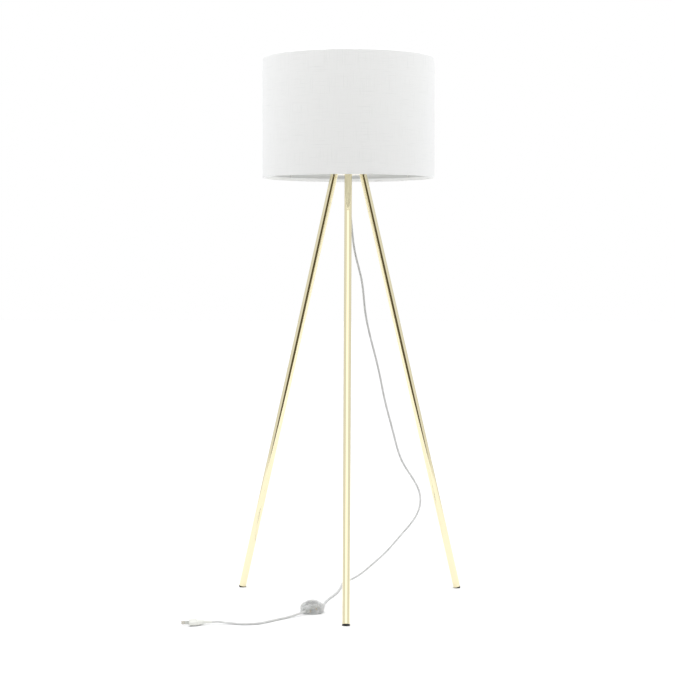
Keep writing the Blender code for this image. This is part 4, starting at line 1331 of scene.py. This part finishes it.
class LAMP_OT_hub(bpy.types.Operator):
    """The hub plate, and the cord grip with its screw on the nipple below it"""

    bl_idname = "lamp.hub"
    bl_label = "Hub and Cord Grip"

    def execute(self, context):
        settings = context.scene.lamp_stand
        gold = plated_steel(
            "light_gold_plated_steel_plate", settings.plate_colour, (500.0, 500.0, 60.0)
        )
        low, height = foot_and_height("hub_plate")
        edge, hole = radius_of("hub_plate"), NIPPLE_HOLE
        plate = turned_ring(
            "hub_disc",
            [
                (hole, height, 0.0003), (edge, height, 0.0009), (edge, 0.0, 0.0009),
                (hole, 0.0, 0.0003),
            ],
            160, steps=5,
        )
        dress(plate, gold, "polished_gold", "hub_plate", at=on_axis(low))

        low, height = foot_and_height("cord_grip")
        outer = 0.008
        fittings = context.scene.lamp_fittings
        white = moulded_plastic("white_moulded_cord_grip", fittings.plastic_colour, 0.4)
        grip = turned_ring(
            "cord_grip_body",
            [
                (hole, height, 0.0002), (outer, height, 0.0006),
                (outer, 0.016, 0), (outer, 0.0065, 0.002), (0.0048, 0.0, 0.0006),
                (0.0030, 0.0, 0.0004), (0.0030, 0.009, 0), (hole, 0.0125, 0),
            ],
            144,
            swell=fluted(fittings.grip_ribs, 0.0006, outer, 0.0155, 0.022),
        )
        screw_low, screw_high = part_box("cord_grip_screw")
        spot = middle("cord_grip_screw")
        sideways = [(0.0, y, spot.z - low) for y in (0.0, 0.02)]
        carve(grip, [wire("bore", [sideways], 0.0036, 24)])
        dress(grip, white, "white_plastic", "cord_grip", at=on_axis(low))

        zinc = bare_metal("zinc_plated_steel_grub_screw", "BCBEC0", "94989B", 0.28, 0.001)
        reach = screw_high.y - screw_low.y
        screw = turned(
            "cord_grip_clamp_screw",
            [(0.0, reach)]
            + rounded([(0.0029, reach, 0.0006), (0.0029, reach - 0.0011, 0.0002),
                       (0.0015, reach - 0.0011, 0)], closed=False)
            + upright(0.0015, reach - 0.0013, 0.0003, 0.00012) + [(0.0, 0.0)],
            48, closed=False, swell=threaded(0.0003, 0.0005, 0.0, reach - 0.0013),
        )
        slot = block("slot", (0.0006, 0.008, 0.0012), 0.00005)
        slot.location = (0.0, 0.0, reach)
        carve(screw, [slot])
        outwards = 1.0 if screw_high.y - AXIS.y > AXIS.y - screw_low.y else -1.0
        start = Vector((AXIS.x, screw_low.y if outwards > 0 else screw_high.y, spot.z))
        turn = Matrix.Rotation(-outwards * math.pi / 2, 4, "X")
        dress(screw, zinc, "zinc_steel", "cord_grip_screw",
              at=Matrix.Translation(start) @ turn)
        return {"FINISHED"}


# Lampholder ---------------------------------------------------------------------------


class LAMP_OT_lampholder(bpy.types.Operator):
    """The lampholder's cap, threaded shell, contact block, screw sleeve and shade rings"""

    bl_idname = "lamp.lampholder"
    bl_label = "Lampholder"

    neck = 0.008
    wall = 0.0022
    shoulder = 0.016
    cap_height = 0.024
    cap_bore = 0.008  # height in the cap that the nipple screws into
    block_top = 0.030

    def execute(self, context):
        settings = context.scene.lamp_fittings
        self.radius = radius_of("lampholder_cap")
        self.base = on_axis(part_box("lampholder_cap")[0].z)
        white = moulded_plastic(
            "white_moulded_pet_lampholder", settings.plastic_colour, 0.36
        )
        brass = bare_metal("nickel_plated_brass_contact", "D9CDAE", "B4A47C", 0.24, 0.002)
        self.make_body(white)
        self.make_contacts(brass)
        self.make_rings(white, settings.ring_ribs)
        return {"FINISHED"}

    def make_body(self, white):
        outer, inside = self.radius, self.radius - self.wall
        drop = self.shoulder - 0.006
        cap = turned(
            "lampholder_cap_body",
            [(outer, self.cap_height)]
            + arc((self.neck, self.shoulder), (outer - self.neck, drop), 0.0, -88.0, 20)
            + rounded([
                (self.neck, 0.006, 0), (self.neck, 0.0, 0.0006), (NIPPLE_HOLE, 0.0, 0.0003),
                (NIPPLE_HOLE, self.cap_bore, 0),
            ], closed=False)
            + arc((self.neck, self.shoulder), (inside - self.neck, drop - 0.0025),
                  -85.0, 0.0, 16)
            + [(inside, self.cap_height)],
            128,
        )
        dress(cap, white, "white_plastic", "lampholder_cap", at=self.base)

        top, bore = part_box("lampholder_shell")[1].z - self.base.translation.z, 0.0144
        thread_low, thread_high = 0.0300, top - 0.0015
        shell = turned(
            "lampholder_threaded_shell",
            rounded([
                (bore, top - 0.0015, 0), (bore + 0.0012, top, 0.0005),
                (outer - 0.0010, top, 0.0006), (outer - 0.0002, thread_high, 0),
            ], closed=False)
            + upright(outer, thread_high - 0.0001, thread_low, 0.0003)
            + rounded([
                (outer, thread_low - 0.0001, 0), (outer, self.cap_height + GAP, 0.0005),
                (inside, self.cap_height + GAP, 0.0002),
                (inside, self.block_top + GAP, 0.0002),
                (bore, self.block_top + GAP, 0.0002),
            ]),
            128, swell=threaded(0.0008, 0.0030, thread_low, thread_high, outer - 0.00005),
        )
        dress(shell, white, "white_plastic", "lampholder_shell", at=self.base)

        block_edge = inside - GAP
        insert = turned_solid(
            "lampholder_contact_block",
            [
                (0.0, self.block_top, 0), (0.0030, self.block_top, 0.0003),
                (0.0034, self.block_top - 0.0004, 0), (0.0100, self.block_top - 0.0004, 0),
                (0.0104, self.block_top, 0.0003), (block_edge, self.block_top, 0.0006),
                (block_edge, self.cap_height - 0.004, 0.0005),
                (block_edge - 0.003, 0.017, 0.0005), (block_edge - 0.004, 0.016, 0.0004),
                (0.0, 0.016, 0),
            ],
        )
        dress(insert, steatite(), "white_ceramic", "contact_block", at=self.base)

    def make_contacts(self, brass):
        low, height = foot_and_height("thread_sleeve")
        radius, wall, pitch = radius_of("thread_sleeve") - 0.0005, 0.0005, 0.0036
        sleeve = turned(
            "lampholder_screw_sleeve",
            upright(radius + wall, height, 0.0, 0.0003)
            + upright(radius, 0.0, height, 0.0003),
            96, swell=threaded(0.0010, pitch, 0.0, height),
        )
        dress(sleeve, brass, "brass", "thread_sleeve", at=on_axis(low))

        low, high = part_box("centre_contact")
        thick, rise = 0.0006, high.z - low.z - 0.0006
        ends = (low.x - AXIS.x, high.x - AXIS.x)
        line = rounded([
            (ends[0], 0.0, 0), (-0.004, 0.0, 0.003), (0.001, rise, 0.003),
            (ends[1], rise, 0),
        ], closed=False, steps=8)
        shape = bmesh.new()
        rings = []
        for x, z in line:
            rings.append([
                shape.verts.new((x, y, z + up))
                for y, up in ((low.y, 0), (high.y, 0), (high.y, thick), (low.y, thick))
            ])
        skin(shape, rings)
        shape.faces.new(rings[0])
        shape.faces.new(rings[-1])
        strip = new_piece("lampholder_centre_contact", shape)
        dress(strip, brass, "brass", "centre_contact",
              at=Matrix.Translation((AXIS.x, 0.0, low.z)))

    def make_rings(self, white, ribs):
        for level in ("lower", "upper"):
            low, height = foot_and_height(f"shade_ring_{level}")
            outer, bore = radius_of(f"shade_ring_{level}"), self.radius + GAP
            ring = turned_ring(
                f"lampholder_shade_ring_{level}",
                [
                    (bore, height, 0.0004), (outer, height, 0.0012), (outer, 0.0, 0.0012),
                    (bore, 0.0, 0.0004),
                ],
                ribs * 8, steps=4, swell=fluted(ribs, 0.0010, outer, 0.001, height - 0.001),
            )
            dress(ring, white, "white_plastic", f"shade_ring_{level}", at=on_axis(low))


# Shade --------------------------------------------------------------------------------


class LAMP_OT_carrier(bpy.types.Operator):
    """The white steel ring and four wires that carry the shade"""

    bl_idname = "lamp.carrier"
    bl_label = "Shade Carrier"

    arm_wire = 0.0030
    bend = 0.010
    hole = 0.021
    edge = 0.0325
    thickness = 0.002
    lap = 0.0025

    def execute(self, context):
        low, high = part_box("shade_spider")
        level = high.z - self.arm_wire / 2
        rim = radius_of("shade_bottom_ring") - 0.00175
        top, bottom = level + self.thickness / 2, level - self.thickness / 2
        carrier = turned_ring(
            "shade_carrier",
            [
                (self.hole, top, 0.0003), (self.edge, top, 0.0005),
                (self.edge, bottom, 0.0005), (self.hole, bottom, 0.0003),
            ],
            128,
        )
        path = [(self.edge - self.lap, level)]
        path += arc((rim - self.bend, level - self.bend), (self.bend,) * 2, 90.0, 0.0, 12)
        path.append((rim, low.z))
        added = []
        for i in range(4):
            turn = math.radians(45.0 + 90.0 * i)
            arm = [(x * math.cos(turn), x * math.sin(turn), z) for x, z in path]
            added.append(wire("arm", [arm], self.arm_wire, 20))
            weld = turned("weld", [
                (0.0, 0.0013), (0.0012, 0.0010), (0.0020, 0.0004), (0.0024, -0.0004),
                (0.0, -0.0006),
            ], 24, closed=False)
            spot = (self.edge - 0.0006) * Vector((math.cos(turn), math.sin(turn), 0.0))
            weld.location = spot + Vector((0.0, 0.0, top))
            added.append(weld)
        carve(carrier, added, "UNION")
        dress(carrier, powder_coat(), "white_coated_steel", "shade_spider",
              at=on_axis())
        return {"FINISHED"}


class LAMP_OT_shade(bpy.types.Operator):
    """The drum shade: cloth turned in round both wire rims, over a plastic lining"""

    bl_idname = "lamp.shade"
    bl_label = "Shade"

    hem_round = 0.00295  # outside radius of the cloth round a rim's wire
    hem_height = 0.009
    wall = 0.001
    sides = 192

    def execute(self, context):
        settings = context.scene.lamp_shade
        self.cloth = settings.fabric_thickness
        self.lap = settings.lap_width
        lining = self.line_inside()
        drum = self.cover(settings)
        return {"FINISHED"}

    def seam(self, angle, radius, height):
        """The overlap at the back, where two thicknesses of cloth are glued."""
        off = abs(angle - math.pi / 2) * SHADE_RADIUS - self.lap / 2
        raised = min(1.0, max(0.0, -off / (2 * self.cloth)))
        return self.cloth * raised * max(0.0, (radius - self.rim) / self.hem_round)

    def cover(self, settings):
        self.rim = SHADE_RADIUS - self.hem_round
        angles = [2 * math.pi * i / self.sides for i in range(self.sides)]
        for side in (-1, 1):
            for reach in (self.lap / 2, self.lap / 2 - 2 * self.cloth):
                angles.append(math.pi / 2 + side * reach / SHADE_RADIUS)
        angles.sort()
        profile = []
        inset = self.rim - self.hem_round
        for edge, way in ((SHADE_BOTTOM, 1), (SHADE_TOP, -1)):
            spot = (self.rim, edge + way * self.hem_round)
            thin = self.hem_round - self.cloth
            strip = edge + way * self.hem_height
            side = arc(spot, (self.hem_round,) * 2, 0.0, -180.0 * way, 14)
            side += [(inset, strip), (inset + self.cloth, strip)]
            side += arc(spot, (thin,) * 2, -180.0 * way, 0.0, 14)
            profile += side if way > 0 else side[::-1]
        loop = zip(profile, profile[1:] + profile[:1])
        self.cloth_height = sum(math.dist(a, b) for a, b in loop) / 2 - self.cloth
        drum = turned("shade_cloth", profile, angles=angles, swell=self.seam, sharp=50.0)
        cloth = woven_cloth(settings.fabric_colour, settings.thread_spacing)
        return dress(drum, cloth, "white_textile", "shade_drum", at=on_axis())

    def line_inside(self):
        outer = SHADE_RADIUS - self.cloth - 0.0001
        inner = SHADE_RADIUS - self.wall
        low, high = SHADE_BOTTOM + self.hem_round, SHADE_TOP - self.hem_round
        lining = turned(
            "shade_lining", [(outer, high), (outer, low), (inner, low), (inner, high)],
            self.sides,
        )
        # The lining is white PVC, drawn pale grey (E2E3E2): painted shade for the dim inside
        # of the drum.
        dress(lining, calendered_film("E2E3E2"), "white_plastic", "shade_drum",
              at=on_axis())
        return lining


class LAMP_OT_inner_parts(bpy.types.Operator):
    """The hub's nut, and finishes for the frame's own parts that lie inside the others"""

    bl_idname = "lamp.inner_parts"
    bl_label = "Inner Parts"

    def execute(self, context):
        low, height = foot_and_height("nipple_nut")
        flat = 0.0070  # from the nut's middle to its sides

        def hexagon(angle, radius, level):
            turn = (angle + math.pi / 6) % (math.pi / 3) - math.pi / 6
            return min(0.0, flat / math.cos(turn) - radius) if radius > 0.0056 else 0.0

        zinc = bare_metal("zinc_plated_steel_hardware", "B8BBBC", "8F9396", 0.3, 0.003)
        nut = turned(
            "hub_nut",
            [
                (NIPPLE_HOLE, height), (0.0066, height), (0.0074, height - 0.0003),
                (0.0081, height - 0.0009), (0.0081, 0.0009), (0.0074, 0.0003),
                (0.0066, 0.0), (NIPPLE_HOLE, 0.0),
            ],
            144, swell=hexagon,
        )
        dress(nut, zinc, "zinc_steel", "nipple_nut", at=on_axis(low))

        brass = bare_metal("turned_brass_screw", "CBA658", "A47F3F", 0.28, 0.001)
        sheath = cord_sheath(context.scene.lamp_fittings.cord_colour)
        finishes = {
            zinc: (
                "leg_insert_front", "leg_insert_right", "leg_insert_left", "nipple",
                "lock_washer", "shade_bottom_ring", "shade_top_ring",
            ),
            brass: ("terminal_screw_live", "terminal_screw_neutral"),
            sheath: ("lampholder_lead",),
        }
        for finish, names in finishes.items():
            for name in names:
                for slot in frame["nodes"][name].material_slots:
                    slot.material = finish
        return {"FINISHED"}


# Cord ---------------------------------------------------------------------------------


class LAMP_OT_cords(bpy.types.Operator):
    """The cord from the lampholder to the foot switch, and on to the plug"""

    bl_idname = "lamp.cords"
    bl_label = "Cords"

    def execute(self, context):
        sheath = cord_sheath(context.scene.lamp_fittings.cord_colour)
        switch = switch_frame()
        plug = plug_frame()
        grip = AXIS + Vector((0.0, 0.0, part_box("cord_grip")[0].z))
        wall = radius_of("switch_base")
        outlet = wall + CORD_OUTLET
        lead = outlet + CORD_LEAD
        relief = PLUG_LENGTH + RELIEF_LENGTH + 2 * GAP

        def at_switch(reach):
            return switch @ Vector((reach, 0.0, PORT_HEIGHT))

        def at_plug(reach):
            return plug @ Vector((-reach, 0.0, 0.0))

        down = Vector((0.0, 0.0, -1.0))
        upper = [grip + down * CORD_OUTLET, grip + down * (CORD_OUTLET + CORD_LEAD)]
        upper += [AXIS + Vector(point) for point in UPPER_ROUTE]
        upper += [at_switch(-lead), at_switch(-outlet)]
        lower = [at_switch(outlet), at_switch(lead)]
        lower += [AXIS + Vector(point) for point in LOWER_ROUTE]
        lower += [at_plug(relief + CORD_OUTLET + CORD_LEAD), at_plug(relief + CORD_OUTLET)]
        switch_pieces = [o for o in bpy.data.objects if o.name.startswith("foot_switch")]
        plug_pieces = [o for o in bpy.data.objects if o.name.startswith("mains_plug")]
        inside = wall - CORD_END_INSET
        start = grip - down * CORD_START_IN_GRIP
        self.lay(
            "cord_to_switch", "cord_upper", sheath,
            [start, *smooth_route(upper, CORD_STEP), at_switch(-inside)],
            grip, "fitting", "hanging", switch_pieces,
        )
        self.lay(
            "cord_to_plug", "cord_lower", sheath,
            [at_switch(inside), *smooth_route(lower, CORD_STEP), at_plug(relief)],
            at_switch(wall), "plug", "loose", plug_pieces,
        )
        return {"FINISHED"}

    def lay(self, name, cad_node, sheath, points, leaves, far_end, lay, ends_in):
        """One cord, laid along its points."""
        cord = tube_along(name, [points], CORD_DIAMETER, 4)
        dress(cord, sheath, "clear_cord", cad_node)


class LAMP_PT_panel(bpy.types.Panel):
    """The lamp's steps, in the order in which they are made"""

    bl_idname = "LAMP_PT_panel"
    bl_label = "Tripod Floor Lamp"
    bl_space_type = "VIEW_3D"
    bl_region_type = "UI"
    bl_category = "Lamp"

    def draw(self, context):
        for step in STEPS:
            self.layout.operator(step.bl_idname)


STEPS = (
    LAMP_OT_studio, LAMP_OT_foot_switch, LAMP_OT_plug, LAMP_OT_cords, LAMP_OT_legs,
    LAMP_OT_hub, LAMP_OT_lampholder, LAMP_OT_carrier, LAMP_OT_shade, LAMP_OT_inner_parts,
)
GROUPS = {
    "lamp_studio": LampStudio, "lamp_stand": LampStand, "lamp_shade": LampShade,
    "lamp_fittings": LampFittings,
}


def register():
    for name, group in GROUPS.items():
        bpy.utils.register_class(group)
        setattr(bpy.types.Scene, name, PointerProperty(type=group))
    for entry in (*STEPS, LAMP_PT_panel):
        bpy.utils.register_class(entry)


def unregister():
    for entry in (LAMP_PT_panel, *reversed(STEPS)):
        bpy.utils.unregister_class(entry)
    for name, group in GROUPS.items():
        delattr(bpy.types.Scene, name)
        bpy.utils.unregister_class(group)


def main():
    register()
    for step in STEPS:
        family, name = step.bl_idname.split(".")
        getattr(getattr(bpy.ops, family), name)()


if __name__ == "__main__":
    main()
